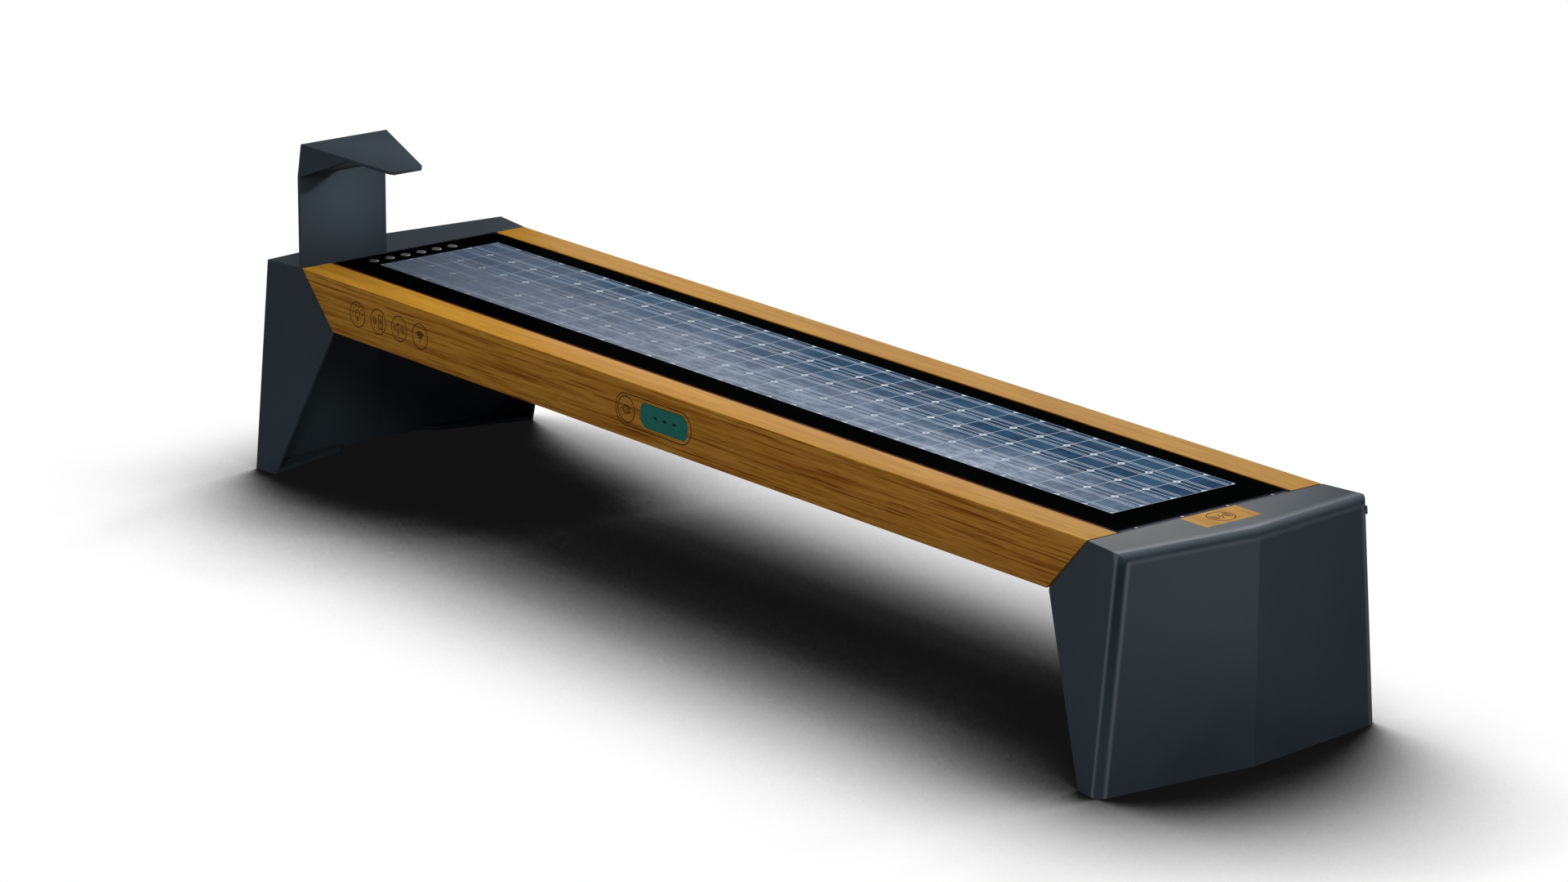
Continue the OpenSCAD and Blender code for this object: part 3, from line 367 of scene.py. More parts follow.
def brown_seal():
    """A matt seal: brown along the rails, near black at the clamping strip."""
    material, tree, shader = start("brown_seal", rgb(60, 24, 8), 0.7, Specular_IOR_Level=0.01)
    grain = noise(tree, 300, detail=4)
    brown = mix(tree, levels(tree, grain, 0.3, 0.7), rgb(54, 20, 6), rgb(66, 28, 10))
    at_strip = levels(tree, coordinates(tree)["X"], 1.19, 1.2)
    colour_by(tree, shader, mix(tree, at_strip, brown, rgb(20, 22, 32)))
    roughness_by(tree, shader, levels(tree, grain, 0.3, 0.7, 0.6, 0.8))
    relief(tree, shader, grain, 0.00003, 0.5)
    return material


def opal_lens():
    """The lamp's diffuser, with faint ribs."""
    material, tree, shader = start("opal_lens", rgb(90, 92, 90), 0.45, Specular_IOR_Level=0.05)
    ribs = add(tree, "ShaderNodeTexWave", {"Vector": point(tree), "Scale": 180.0},
               bands_direction="Y")
    colour_by(tree, shader, mix(tree, ribs.outputs["Fac"], rgb(78, 80, 78), rgb(96, 98, 95)))
    relief(tree, shader, ribs.outputs["Fac"], 0.0003, 0.5)
    return material


def make_materials():
    """Every finish by its name."""
    brushed = (3, 900, 900)
    return {
        "leg_coat": powder_coat("leg_coat", rgb(42, 50, 56)),
        "timber": oiled_timber("timber", (0, 0, 0)),
        "inlay_timber": oiled_timber("inlay_timber", (3.1, 0.4, 0.2)),
        "black_glass": black_glass(),
        "silicon": silicon(),
        "ribbon": printed_silver("ribbon", rgb(196, 206, 216)),
        "backing": printed_silver("backing", rgb(196, 206, 216)),
        "solder_dot": plain_finish("solder_dot", rgb(60, 62, 66), 0.5, 0.2, 400),
        "galvanised": galvanised(),
        "zinc": plain_finish("zinc", rgb(176, 178, 180), 0.35, 0.9, 500),
        "module_aluminium": plain_finish("module_aluminium", rgb(150, 152, 156), 0.4, 0.9, 1,
                                         brushed),
        "brown_seal": brown_seal(),
        "dark_strip": plain_finish("dark_strip", rgb(26, 29, 42), 0.45, 0.0, 1, (900, 3, 900),
                                   Specular_IOR_Level=0.01),
        "button_steel": plain_finish("button_steel", rgb(66, 70, 72), 0.45, 0.6, 1,
                                     (900, 12, 900)),
        "bezel_steel": plain_finish("bezel_steel", rgb(88, 90, 90), 0.4, 0.6, 600),
        "teal": plain_finish("teal", rgb(30, 94, 84), 0.42, 0.0, 700, Specular_IOR_Level=0.02),
        "contact_metal": plain_finish("contact_metal", rgb(130, 132, 136), 0.35, 0.9, 600),
        "gold_contact": plain_finish("gold_contact", rgb(196, 158, 80), 0.3, 0.9, 600),
        "board_green": plain_finish("board_green", rgb(24, 84, 48), 0.4, 0.0, 250),
        "moulded_black": plain_finish("moulded_black", rgb(26, 27, 29), 0.5, 0.0, 600),
        "battery_grey": plain_finish("battery_grey", rgb(70, 74, 80), 0.5, 0.0, 500),
        "heatsink": plain_finish("heatsink", rgb(84, 87, 92), 0.45, 0.8, 1, brushed),
        "cable_rubber": plain_finish("cable_rubber", rgb(20, 20, 22), 0.6, 0.0, 700),
        "opal_lens": opal_lens(),
        "burnt_line": plain_finish("burnt_line", rgb(50, 22, 18), 0.7, 0.0, 500, spread=0.3,
                                   Specular_IOR_Level=0.02),
    }


# Mesh helpers


def cell_centre():
    """The middle of the solar cells."""
    low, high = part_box("solar_cells")
    return (low + high) / 2


def link(name, mesh, material):
    """A new object at the origin with one material."""
    mesh.materials.clear()
    mesh.materials.append(material)
    piece = bpy.data.objects.new(name, mesh)
    bpy.context.scene.collection.objects.link(piece)
    return piece


def from_bmesh(name, shape):
    """A mesh from a finished bmesh, which is freed."""
    mesh = bpy.data.meshes.new(name)
    shape.to_mesh(mesh)
    shape.free()
    return mesh


def patch(shape, outline):
    """Adds one filled flat outline to the shape."""
    shape.faces.new([shape.verts.new((x, y, 0)) for x, y in outline])


def thicken(shape, thickness):
    """Turns a flat drawing into a closed plate, its underside at z = 0."""
    lifted = bmesh.ops.extrude_face_region(shape, geom=list(shape.faces))
    top = [v for v in lifted["geom"] if isinstance(v, bmesh.types.BMVert)]
    bmesh.ops.translate(shape, verts=top, vec=(0, 0, thickness))
    bmesh.ops.recalc_face_normals(shape, faces=shape.faces)


def plate_mesh(name, outline, thickness):
    """A flat plate from a 2-D outline, its underside at z = 0."""
    shape = bmesh.new()
    patch(shape, outline)
    thicken(shape, thickness)
    return from_bmesh(name, shape)


def plain_copy(piece, material):
    """The piece with its modifiers turned into a plain mesh."""
    graph = bpy.context.evaluated_depsgraph_get()
    mesh = bpy.data.meshes.new_from_object(piece.evaluated_get(graph))
    name = piece.name
    bpy.data.objects.remove(piece)
    return link(name, mesh, material)


def repeat_tree():
    """Geometry Nodes: repeats the object's own mesh over a grid."""
    tree = bpy.data.node_groups.new("repeat_over_grid", "GeometryNodeTree")
    face = tree.interface
    face.new_socket("Geometry", in_out="INPUT", socket_type="NodeSocketGeometry")
    for name, kind in (("Count along", "NodeSocketInt"), ("Count across", "NodeSocketInt"),
                       ("Span along", "NodeSocketFloat"), ("Span across", "NodeSocketFloat"),
                       ("Centre", "NodeSocketVector"), ("Finish", "NodeSocketMaterial")):
        face.new_socket(name, in_out="INPUT", socket_type=kind)
    face.new_socket("Geometry", in_out="OUTPUT", socket_type="NodeSocketGeometry")
    given = tree.nodes.new("NodeGroupInput")
    result = tree.nodes.new("NodeGroupOutput")
    grid = add(tree, "GeometryNodeMeshGrid",
               {"Vertices X": given.outputs["Count along"],
                "Vertices Y": given.outputs["Count across"],
                "Size X": given.outputs["Span along"], "Size Y": given.outputs["Span across"]})
    copies = add(tree, "GeometryNodeInstanceOnPoints",
                 {"Points": grid.outputs["Mesh"], "Instance": given.outputs["Geometry"]})
    real = add(tree, "GeometryNodeRealizeInstances", {"Geometry": copies.outputs["Instances"]})
    placed = add(tree, "GeometryNodeTransform",
                 {"Geometry": real.outputs["Geometry"], "Translation": given.outputs["Centre"]})
    coated = add(tree, "GeometryNodeSetMaterial",
                 {"Geometry": placed.outputs["Geometry"], "Material": given.outputs["Finish"]})
    tree.links.new(coated.outputs["Geometry"], result.inputs["Geometry"])
    return tree


def repeated(name, mesh, material, centre, count, pitch):
    """The mesh repeated over a grid about a centre, as one plain mesh."""
    piece = link(name, mesh, material)
    layout = piece.modifiers.new("repeat", "NODES")
    layout.node_group = REPEAT
    values = {"Count along": count[0], "Count across": count[1],
              "Span along": (count[0] - 1) * pitch[0], "Span across": (count[1] - 1) * pitch[1],
              "Centre": tuple(centre), "Finish": material}
    for item in REPEAT.interface.items_tree:
        if item.in_out == "INPUT" and item.name in values:
            layout[item.identifier] = values[item.name]
    return plain_copy(piece, material)


def fold_starts(shape):
    """The outer lines where the near leg's round folds begin.

    Each is (first end, last end, direction into the flat plate, strength of its painted highlight,
    its reach).
    """
    inside = Vector((1.15, 0, 0.2))
    least_length = 0.25
    facet_area = 0.002
    plate_area = 0.03
    facet_turn = math.radians(6)
    lines = []
    for edge in shape.edges:
        if len(edge.link_faces) != 2 or edge.calc_length() <= least_length:
            continue
        facet, plate = sorted(edge.link_faces, key=lambda face: face.calc_area())
        first, last = (v.co.copy() for v in edge.verts)
        if (facet.calc_area() < facet_area and plate.calc_area() > plate_area
                and facet.normal.angle(plate.normal) < facet_turn
                and (first - inside).dot(plate.normal) > 0):
            across = (last - first).cross(plate.normal).normalized()
            if across.dot(plate.calc_center_median() - first) < 0:
                across.negate()
            on_top = plate.normal.z > 0.9
            upright = abs(last.z - first.z) > 0.1
            strength = 0.3 if on_top else 0.24 if upright else 0.12
            reach = 3 * FOLD_HIGHLIGHT_WIDTH if on_top else FOLD_HIGHLIGHT_WIDTH
            lines.append((first, last, across, strength, reach))
    return lines


def mark_folds(shape):
    """Stores a vertex value for painted light: a painted highlight above 0 where round folds begin,
    painted shade below 0 on the upright folds.
    """
    corner_shade = -0.7
    lines = fold_starts(shape)
    for first, last, across, strength, reach in lines:
        bmesh.ops.bisect_plane(shape, geom=shape.verts[:] + shape.edges[:] + shape.faces[:],
                               plane_co=first + reach * across, plane_no=across)
    layer = shape.verts.layers.float.new("fold_highlight_and_shade")
    for vertex in shape.verts:
        painted_highlight = 0.0
        for first, last, across, strength, reach in lines:
            share = min(max(intersect_point_line(vertex.co, first, last)[1], 0.0), 1.0)
            away = (vertex.co - first.lerp(last, share)).length
            painted_highlight = max(painted_highlight, strength * (1 - away / reach))
        # Painted shade on the round upright corners of the near leg
        turned = vertex.normal
        corner = min(turned.x, abs(turned.y)) > 0.25 and abs(turned.z) < 0.3
        vertex[layer] = painted_highlight or (corner_shade if corner else 0.0)


def softened(node, material, width):
    """Puts a copy with softened edges and smooth folds in a CAD node's place."""
    merge_distance = 0.000002
    flat_angle = math.radians(0.2)
    edge_angle = math.radians(25)
    mesh = frame["nodes"][node].data.copy()
    shape = bmesh.new()
    shape.from_mesh(mesh)
    bmesh.ops.remove_doubles(shape, verts=shape.verts, dist=merge_distance)
    bmesh.ops.dissolve_limit(shape, angle_limit=flat_angle, verts=shape.verts,
                             edges=shape.edges)
    if node == "right_leg":
        mark_folds(shape)
    shape.to_mesh(mesh)
    shape.free()
    piece = link(node + "_finish", mesh, material)
    mesh.shade_smooth()
    mesh.set_sharp_from_angle(angle=FOLD_ANGLE)
    edges = piece.modifiers.new("edges", "BEVEL")
    edges.width = width
    edges.segments = 2
    edges.limit_method = "ANGLE"
    edges.angle_limit = edge_angle
    even = piece.modifiers.new("even", "WEIGHTED_NORMAL")
    even.keep_sharp = True
    piece = plain_copy(piece, material)
    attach(piece, body_of(node))
    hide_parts(node)


def body_of(node):
    """The name of the body that holds a CAD node."""
    for body, nodes in frame["record"]["behaviour"]["bodies"].items():
        if node in nodes:
            return body
    raise ValueError(node)


def give(node, material):
    """Puts a material on a CAD node."""
    target = frame["nodes"][node]
    target.data.materials.clear()
    target.data.materials.append(material)


# The pieces


def cell_outline():
    """A square cell with cut corners."""
    half = CELL / 2
    cut = half - CELL_CUT
    return [(half, -cut), (half, cut), (cut, half), (-cut, half), (-half, cut), (-half, -cut),
            (-cut, -half), (cut, -half)]


def box_outline(length, width):
    """A rectangle about the middle."""
    return [(-length / 2, -width / 2), (length / 2, -width / 2), (length / 2, width / 2),
            (-length / 2, width / 2)]


def disc_outline(radius, sides, x=0.0, y=0.0):
    """A round outline about a point."""
    return [(x + radius * math.cos(2 * math.pi * i / sides),
             y + radius * math.sin(2 * math.pi * i / sides)) for i in range(sides)]


def solar_face():
    """The visible cells: backing, cells, ribbons and solder dots, in thin layers."""
    dot_radius = 0.0022
    ribbon_width = 0.0014
    ribbon_trim = 0.004
    ribbon_offsets = (-0.0245, -0.0185, 0.0185, 0.0245)
    pitches = (CELL_PITCH, CELL_PITCH)
    middle = cell_centre()
    base = Vector((middle.x, middle.y, GLASS_TOP))
    length = CELLS[0] * CELL_PITCH
    width = CELLS[1] * CELL_PITCH
    sheet = repeated("cell_backing", plate_mesh("backing", box_outline(length, width), LAYER),
                     PAINT["backing"], base, (1, 1), (0, 0))
    cells = repeated("cell_faces", plate_mesh("cell", cell_outline(), LAYER),
                     PAINT["silicon"], base + Vector((0, 0, LAYER)), CELLS, pitches)
    dots = repeated("solder_dots", plate_mesh("dot", disc_outline(dot_radius, 10), LAYER),
                    PAINT["solder_dot"], base + Vector((0, 0, 2 * LAYER)),
                    (CELLS[0] - 1, CELLS[1] - 1), pitches)
    made = [sheet, cells, dots]
    for number, offset in enumerate(ribbon_offsets):
        line = plate_mesh("ribbon", box_outline(length - ribbon_trim, ribbon_width), LAYER)
        made.append(repeated("ribbons_%d" % (number + 1), line, PAINT["ribbon"],
                             base + Vector((0, offset, 2 * LAYER)), (1, CELLS[1]),
                             (0, CELL_PITCH)))
    for piece in made:
        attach(piece, "bench")


def arc(x, y, radius, first, last, count=24):
    """Points along an arc; angles in degrees."""
    return [(x + radius * math.cos(math.radians(first + (last - first) * i / count)),
             y + radius * math.sin(math.radians(first + (last - first) * i / count)))
            for i in range(count + 1)]


def stroke(shape, points, width, closed=False):
    """Adds one flat line of even width along points to the shape."""
    mitre_limit = 0.4
    count = len(points)
    pairs = []
    for i in range(count):
        if closed:
            before, after = points[i - 1], points[(i + 1) % count]
        else:
            before, after = points[max(i - 1, 0)], points[min(i + 1, count - 1)]
        here = Vector(points[i])
        back = (here - Vector(before)).normalized() if before != points[i] else None
        ahead = (Vector(after) - here).normalized() if after != points[i] else None
        along = ((back or ahead) + (ahead or back)).normalized()
        side = Vector((-along.y, along.x))
        leaving = ahead or back
        lean = side.dot(Vector((-leaving.y, leaving.x)))
        reach = width / 2 / max(lean, mitre_limit)
        pairs.append((shape.verts.new((*(here + side * reach), 0)),
                      shape.verts.new((*(here - side * reach), 0))))
    last = count if closed else count - 1
    for i in range(last):
        a, b = pairs[i], pairs[(i + 1) % count]
        shape.faces.new((a[0], a[1], b[1], b[0]))


def ring(shape, x, y, radius, width, count=64):
    """Adds a round line to the shape."""
    stroke(shape, arc(x, y, radius, 0, 360 - 360 / count, count - 1), width, closed=True)


def lamp_sign(shape, x, y, line):
    """A bulb with rays."""
    stroke(shape, arc(x, y + 0.002, 0.0075, -50, 230), line)
    for level in (0.0065, 0.0095, 0.0125):
        stroke(shape, [(x - 0.0035, y - level), (x + 0.0035, y - level)], line)
    for angle in range(0, 181, 36):
        c, s = math.cos(math.radians(angle)), math.sin(math.radians(angle))
        stroke(shape, [(x + 0.0125 * c, y + 0.002 + 0.0125 * s),
                       (x + 0.0195 * c, y + 0.002 + 0.0195 * s)], line)


def phone_sign(shape, x, y, line):
    """A phone with a bolt in it, beside charging waves."""
    stroke(shape, [(x + 0.001, y - 0.014), (x + 0.015, y - 0.014), (x + 0.015, y + 0.014),
                   (x + 0.001, y + 0.014)], line, closed=True)
    stroke(shape, [(x + 0.0055, y - 0.0105), (x + 0.0105, y - 0.0105)], line)
    stroke(shape, [(x + 0.0095, y + 0.008), (x + 0.0055, y + 0.001), (x + 0.0105, y + 0.001),
                   (x + 0.0065, y - 0.006)], line)
    for radius in (0.007, 0.0115, 0.016):
        stroke(shape, arc(x - 0.001, y, radius, 140, 220, 12), line)


def sound_sign(shape, x, y, line):
    """A loudspeaker with sound waves."""
    stroke(shape, [(x - 0.0165, y - 0.0045), (x - 0.0095, y - 0.0045), (x - 0.0015, y - 0.0115),
                   (x - 0.0015, y + 0.0115), (x - 0.0095, y + 0.0045),
                   (x - 0.0165, y + 0.0045)], line, closed=True)
    for radius in (0.0055, 0.0105, 0.0155):
        stroke(shape, arc(x + 0.0015, y, radius, -48, 48, 14), line)


def network_sign(shape, x, y, line):
    """Three radio waves over a dot."""
    patch(shape, disc_outline(0.0022, 16, x, y - 0.0105))
    for radius in (0.008, 0.0135, 0.019):
        stroke(shape, arc(x, y - 0.0105, radius, 48, 132, 16), 1.8 * line)


def plug_sign(shape, x, y, line):
    """A plug with its lead."""
    stroke(shape, [(x - 0.002, y - 0.008), (x + 0.006, y - 0.008), (x + 0.006, y + 0.008),
                   (x - 0.002, y + 0.008)], line, closed=True)
    for side in (-0.0042, 0.0042):
        stroke(shape, [(x + 0.006, y + side), (x + 0.0145, y + side)], 1.4 * line)
    stroke(shape, arc(x - 0.002, y, 0.008, 90, 270, 16), line)
    stroke(shape, [(x - 0.010, y), (x - 0.0175, y)], line)


def charging_sign(shape, x, y, line):
    """A bolt between two sets of waves."""
    stroke(shape, [(x + 0.003, y + 0.012), (x - 0.004, y - 0.001), (x + 0.004, y + 0.001),
                   (x - 0.003, y - 0.012)], line)
    for radius in (0.0105, 0.0155, 0.0205):
        stroke(shape, arc(x, y, radius, -38, 38, 12), line)
        stroke(shape, arc(x, y, radius, 142, 218, 12), line)


def flat_sign(name, shape, place):
    """Turns a flat drawing into a thin plate, set on a face by a matrix."""
    thicken(shape, LINE_PROUD)
    bmesh.ops.transform(shape, matrix=place, verts=shape.verts)
    piece = link(name, from_bmesh(name, shape), PAINT["burnt_line"])
    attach(piece, "bench")


def rail_signs():
    """The burnt pictograms on the front rail and on the inlay."""
    line = 0.002
    disc_radius = 0.0265
    front = Matrix.Translation((0, RAIL_FACE, RAIL_MIDDLE)) @ Matrix.Rotation(
        math.pi / 2, 4, "X")
    signs = {"lamp_sign": (-1.033, lamp_sign), "phone_sign": (-0.9592, phone_sign),
             "sound_sign": (-0.8852, sound_sign), "network_sign": (-0.8119, network_sign)}
    for name, (x, draw) in signs.items():
        shape = bmesh.new()
        ring(shape, x, 0, disc_radius, line)
        draw(shape, x, 0, line)
        flat_sign(name, shape, front)
    shape = bmesh.new()
    frame_left, frame_right, frame_radius = -0.153, 0.087, 0.0325
    plug_x = -0.119
    outline = (arc(frame_right - frame_radius, 0, frame_radius, -90, 90)
               + arc(frame_left + frame_radius, 0, frame_radius, 90, 270))
    stroke(shape, outline, line, closed=True)
    ring(shape, plug_x, 0, disc_radius, line)
    plug_sign(shape, plug_x, 0, line)
    flat_sign("plug_sign", shape, front)
    shape = bmesh.new()
    inlay_low, inlay_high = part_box("charging_inlay")
    middle = (inlay_low + inlay_high) / 2
    ring(shape, 0, 0, disc_radius, line)
    charging_sign(shape, 0, 0, line)
    flat_sign("charging_sign", shape, Matrix.Translation((middle.x, middle.y, SEAT_TOP))
              @ Matrix.Rotation(math.pi / 2, 4, "Z"))


def usb_tongues():
    """The plastic tongue and the contacts inside each USB socket."""
    wall = 0.0015
    tongue_width, tongue_height, tongue_lift = 0.0105, 0.0018, 0.0002
    contact_width, contact_length, contact_height = 0.0011, 0.009, 0.00025
    contact_inset, contact_drop = 0.0075, 0.00005
    contact_places = (-0.0036, -0.0012, 0.0012, 0.0036)
    low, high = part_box("usb_sockets")
    tongue = plate_mesh("tongue", box_outline(tongue_width, high.y - low.y - 2 * wall),
                        tongue_height)
    pieces = [repeated("usb_tongues", tongue, PAINT["moulded_black"],
                       (0, (low.y + high.y) / 2 + wall / 2, RAIL_MIDDLE + tongue_lift), (3, 1),
                       (USB_PITCH, 0))]
    contact = plate_mesh("contact", box_outline(contact_width, contact_length), contact_height)
    for number, x in enumerate(contact_places):
        pieces.append(repeated("usb_contacts_%d" % (number + 1), contact.copy(),
                               PAINT["gold_contact"],
                               (x, low.y + contact_inset, RAIL_MIDDLE - contact_drop), (3, 1),
                               (USB_PITCH, 0)))
    for piece in pieces:
        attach(piece, "bench")


def rail_section():
    """Outline of a rail across its length, as (y, z), with rounded edges."""
    outline = []
    corners = ((RAIL_BACK, RAIL_BOTTOM, -90), (RAIL_BACK, SEAT_TOP, 0),
               (RAIL_FACE, SEAT_TOP, 90), (RAIL_FACE, RAIL_BOTTOM, 180))
    middle = Vector(((RAIL_FACE + RAIL_BACK) / 2, RAIL_MIDDLE))
    for y, z, first in corners:
        inner_y = y - math.copysign(RAIL_EDGE, y - middle.x)
        inner_z = z - math.copysign(RAIL_EDGE, z - middle.y)
        outline += arc(inner_y, inner_z, RAIL_EDGE, first, first + 90, 5)
    return outline


def cut_by(piece, cutter):
    """Cuts the closed cutter out of the piece and removes the cutter."""
    cut = piece.modifiers.new("cut", "BOOLEAN")
    cut.operation = "DIFFERENCE"
    cut.solver = "EXACT"
    cut.object = cutter
    piece = plain_copy(piece, piece.data.materials[0])
    bpy.data.objects.remove(cutter)
    return piece


def upright_block(name, outline, front, depth):
    """A block with an (x, z) outline, from the plane y = front backwards."""
    mesh = plate_mesh(name, outline, depth)
    mesh.transform(Matrix.Translation((0, front + depth, 0)) @ Matrix.Rotation(
        math.pi / 2, 4, "X"))
    return link(name, mesh, PAINT["timber"])


def rail_blank():
    """A bar with the rail's section, cut off at its two mitres."""
    shape = bmesh.new()
    spare = 0.02
    reach = RAIL_END + spare
    ends = []
    for x in (-reach, reach):
        ends.append(shape.faces.new([shape.verts.new((x, y, z)) for y, z in rail_section()]))
    bmesh.ops.bridge_loops(shape, edges=[e for face in ends for e in face.edges])
    for side in (-1, 1):
        bmesh.ops.bisect_plane(
            shape, geom=shape.verts[:] + shape.edges[:] + shape.faces[:],
            plane_co=(side * RAIL_END, 0, SEAT_TOP),
            plane_no=(side * (SEAT_TOP - RAIL_BOTTOM), 0, -RAIL_MITRE), clear_outer=True)
        bmesh.ops.holes_fill(shape, edges=[e for e in shape.edges if e.is_boundary])
    bmesh.ops.recalc_face_normals(shape, faces=shape.faces)
    return link("front_rail_finish", from_bmesh("front_rail", shape), PAINT["timber"])


def front_rail():
    """The front rail as one board with its USB pocket, over its four glued parts."""
    radius, gap, inset = 0.02, 0.0002, 0.02
    sharp_angle = math.radians(35)
    piece = rail_blank()
    low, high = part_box("usb_plate")
    corner_x = (high.x - low.x) / 2 + gap - radius
    corner_z = (high.z - low.z) / 2 + gap - radius
    pocket = []
    for side_x, side_z, first in ((1, 1, 0), (-1, 1, 90), (-1, -1, 180), (1, -1, 270)):
        pocket += arc(side_x * corner_x, RAIL_MIDDLE + side_z * corner_z, radius, first,
                      first + 90, 12)
    piece = cut_by(piece, upright_block("pocket", pocket, RAIL_FACE - inset,
                                        high.y - RAIL_FACE + inset))
    low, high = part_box("usb_housing")
    slot = [(x, RAIL_MIDDLE + z) for x, z in box_outline(high.x - low.x + 2 * gap,
                                                         high.z - low.z + 2 * gap)]
    piece = cut_by(piece, upright_block("slot", slot, RAIL_FACE - inset,
                                        RAIL_BACK - RAIL_FACE + 2 * inset))
    piece.data.shade_smooth()
    piece.data.set_sharp_from_angle(angle=sharp_angle)
    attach(piece, "bench")
    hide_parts("front_rail_top", "front_rail_bottom", "front_rail_left",
                "front_rail_right")


def dress_nodes():
    """Finishes for the CAD nodes, and softened copies of those that show close by."""
    for node in ("left_leg", "right_leg", "lamp_post", "lamp_hood"):
        softened(node, PAINT["leg_coat"], 0.0006)
    softened("back_rail", PAINT["timber"], 0.0005)
    softened("usb_plate", PAINT["teal"], 0.0005)
    finishes = {
        "leg_coat": ("left_base_plates", "right_base_plates", "left_bulkhead",
                     "right_bulkhead"),
        "galvanised": ("front_beam", "back_beam", "cross_tubes", "beam_end_plates",
                       "belly_tray", "service_hatch"),
        "zinc": ("bulkhead_bolts", "rail_screws", "tray_screws", "hatch_pin", "lock_housings",
                 "left_lock", "right_lock", "battery_straps", "post_bolts"),
        "inlay_timber": ("charging_inlay",),
        "black_glass": ("solar_glass",),
        "silicon": ("solar_cells",),
        "module_aluminium": ("glass_frame", "module_back"),
        "brown_seal": ("glass_seal",),
        "dark_strip": ("end_strip",),
        "button_steel": ("strip_screws", "button_1", "button_2", "button_3", "button_4",
                         "button_5", "button_6"),
        "bezel_steel": ("button_bezels",),
        "teal": ("usb_screws",),
        "contact_metal": ("usb_sockets",),
        "board_green": ("usb_board", "led_board"),
        "moulded_black": ("usb_housing", "button_switches", "charging_module",
                          "network_router", "loudspeakers", "loom_clips"),
        "battery_grey": ("battery_pack",),
        "heatsink": ("charge_controller",),
        "cable_rubber": ("wiring_loom", "side_plug"),
        "opal_lens": ("lamp_lens",),
    }
    for finish, nodes in finishes.items():
        for node in nodes:
            give(node, PAINT[finish])


# The stage


def soft_shadow(tree):
    """How brightly the floor shows: white, down to dark where the bench hides the sky."""
    x, y = (math.sin(angle) for angle in SHADOW_LEAN)
    lean = add(tree, "ShaderNodeCombineXYZ", {"X": -x, "Y": y, "Z": math.sqrt(1 - x * x - y * y)})
    sky_share = add(tree, "ShaderNodeAmbientOcclusion",
                    {"Distance": SHADOW_REACH, "Normal": lean.outputs[0]}, samples=32)
    darkest, fall_off = 0.1, 2.2
    tone = levels(tree, sky_share.outputs["AO"], *SHADOW_RANGE, darkest, 1.0)
    return calc(tree, "POWER", tone, fall_off)


def floor():
    """A wide white floor that keeps the bench's soft shadow, and is clear from below."""
    mesh = bpy.data.meshes.new("floor")
    reach = 40.0
    mesh.from_pydata([(-reach, -reach, 0), (reach, -reach, 0), (reach, reach, 0),
                      (-reach, reach, 0)], [], [(0, 1, 2, 3)])
    material, tree, shader = start("studio_floor", rgb(160, 160, 160), 1.0,
                                   Specular_IOR_Level=0.0)
    paper = noise(tree, 3.0, detail=2)
    colour_by(tree, shader, mix(tree, paper, rgb(158, 158, 158), rgb(162, 162, 162)))
    seen = add(tree, "ShaderNodeEmission", {"Color": (1, 1, 1, 1), "Strength": soft_shadow(tree)})
    path = add(tree, "ShaderNodeLightPath")
    shown = calc(tree, "MAXIMUM", path.outputs["Is Camera Ray"], path.outputs["Is Glossy Ray"])
    shown = calc(tree, "MAXIMUM", shown, path.outputs["Is Transmission Ray"])
    both = add(tree, "ShaderNodeMixShader", {0: shown, 1: shader.outputs[0], 2: seen.outputs[0]})
    below = add(tree, "ShaderNodeNewGeometry").outputs["Backfacing"]
    clear = add(tree, "ShaderNodeBsdfTransparent")
    sided = add(tree, "ShaderNodeMixShader", {0: below, 1: both.outputs[0], 2: clear.outputs[0]})
    tree.links.new(sided.outputs[0], tree.nodes["Material Output"].inputs["Surface"])
    link("floor", mesh, material)


def sky():
    """White to the camera and through glass, dimmer in gloss, a weak even light otherwise."""
    world = bpy.data.worlds.new("studio")
    bpy.context.scene.world = world
    world.use_nodes = True
    tree = world.node_tree
    light = tree.nodes["Background"]
    light.inputs["Color"].default_value = (1, 1, 1, 1)
    light.inputs["Strength"].default_value = 0.08
    path = add(tree, "ShaderNodeLightPath")
    white = levels(tree, path.outputs["Is Glossy Ray"], 0.0, 1.0, 1.0, 0.3)
    seen = add(tree, "ShaderNodeBackground", {"Color": (1, 1, 1, 1), "Strength": white})
    direct = calc(tree, "MAXIMUM", path.outputs["Is Camera Ray"], path.outputs["Is Glossy Ray"])
    shown = calc(tree, "MAXIMUM", direct, path.outputs["Is Transmission Ray"])
    both = add(tree, "ShaderNodeMixShader", {0: shown, 1: light.outputs[0], 2: seen.outputs[0]})
    tree.links.new(both.outputs[0], tree.nodes["World Output"].inputs["Surface"])


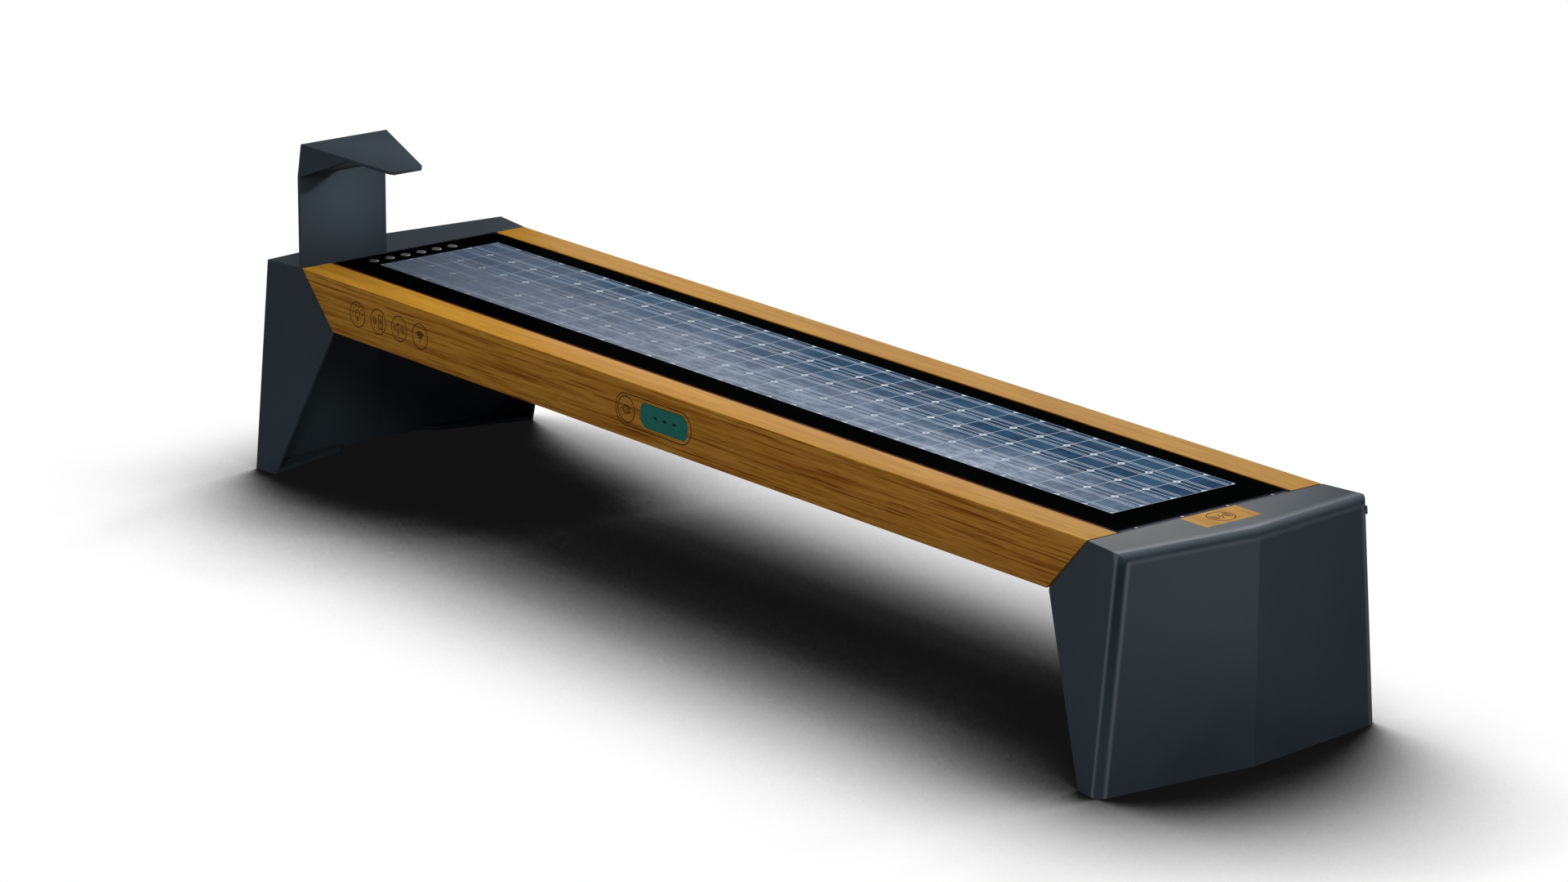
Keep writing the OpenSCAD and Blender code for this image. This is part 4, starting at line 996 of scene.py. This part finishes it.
def lamp(name, place, target, size, power):
    """A square studio lamp that faces its target."""
    data = bpy.data.lights.new(name, "AREA")
    data.shape = "SQUARE"
    data.size = size
    data.energy = power
    light = bpy.data.objects.new(name, data)
    light.location = place
    light.rotation_mode = "QUATERNION"
    light.rotation_quaternion = (Vector(target) - Vector(place)).to_track_quat("-Z", "Y")
    light.visible_camera = False
    bpy.context.scene.collection.objects.link(light)
    return light


def lamps():
    """Soft light from above and from the right, a beam on the post, two cards for gloss."""
    lamp("softbox", (0, -0.5, 8.0), (0, -0.5, 0.0), 10.0, 670).visible_glossy = False
    lamp("side", (7.0, -5.0, 5.6), (1.2, 0, 0.25), 3.5, 470)
    beam = lamp("post_light", (0.9, 0.9, 1.3), (-1.3, -0.18, 0.6), 0.1, 0.26)
    beam.data.spread = math.radians(10)
    lamp("top_card", (-0.8, 1.05, 1.2), (0.8, -0.3, 0.45), 1.7, 37).visible_diffuse = False
    lamp("end_card", (2.0, 0.2, 0.16), (1.36, -0.15, 0.16), 0.5, 8).visible_diffuse = False


def camera():
    """The photograph's camera, fitted to the bench's edges."""
    data = bpy.data.cameras.new("camera")
    data.sensor_width = 36.0
    data.lens = 36.0 * FOCAL_PIXELS / PHOTO_WIDTH
    data.clip_end = 100
    turn, dip, roll = (math.radians(angle) for angle in CAMERA_TURNS)
    ahead = Vector((-math.sin(turn) * math.cos(dip), math.cos(turn) * math.cos(dip),
                    -math.sin(dip)))
    right = Vector((math.cos(turn), math.sin(turn), 0))
    up = right.cross(ahead)
    level = Matrix((right * math.cos(roll) + up * math.sin(roll),
                    up * math.cos(roll) - right * math.sin(roll), -ahead)).transposed()
    eye = bpy.data.objects.new("camera", data)
    eye.matrix_world = Matrix.Translation(CAMERA_PLACE) @ level.to_4x4()
    bpy.context.scene.collection.objects.link(eye)
    bpy.context.scene.camera = eye


PAINT = make_materials()
REPEAT = repeat_tree()
dress_nodes()
front_rail()
solar_face()
rail_signs()
usb_tongues()
floor()
sky()
lamps()
camera()
bpy.context.scene.view_settings.view_transform = "Standard"
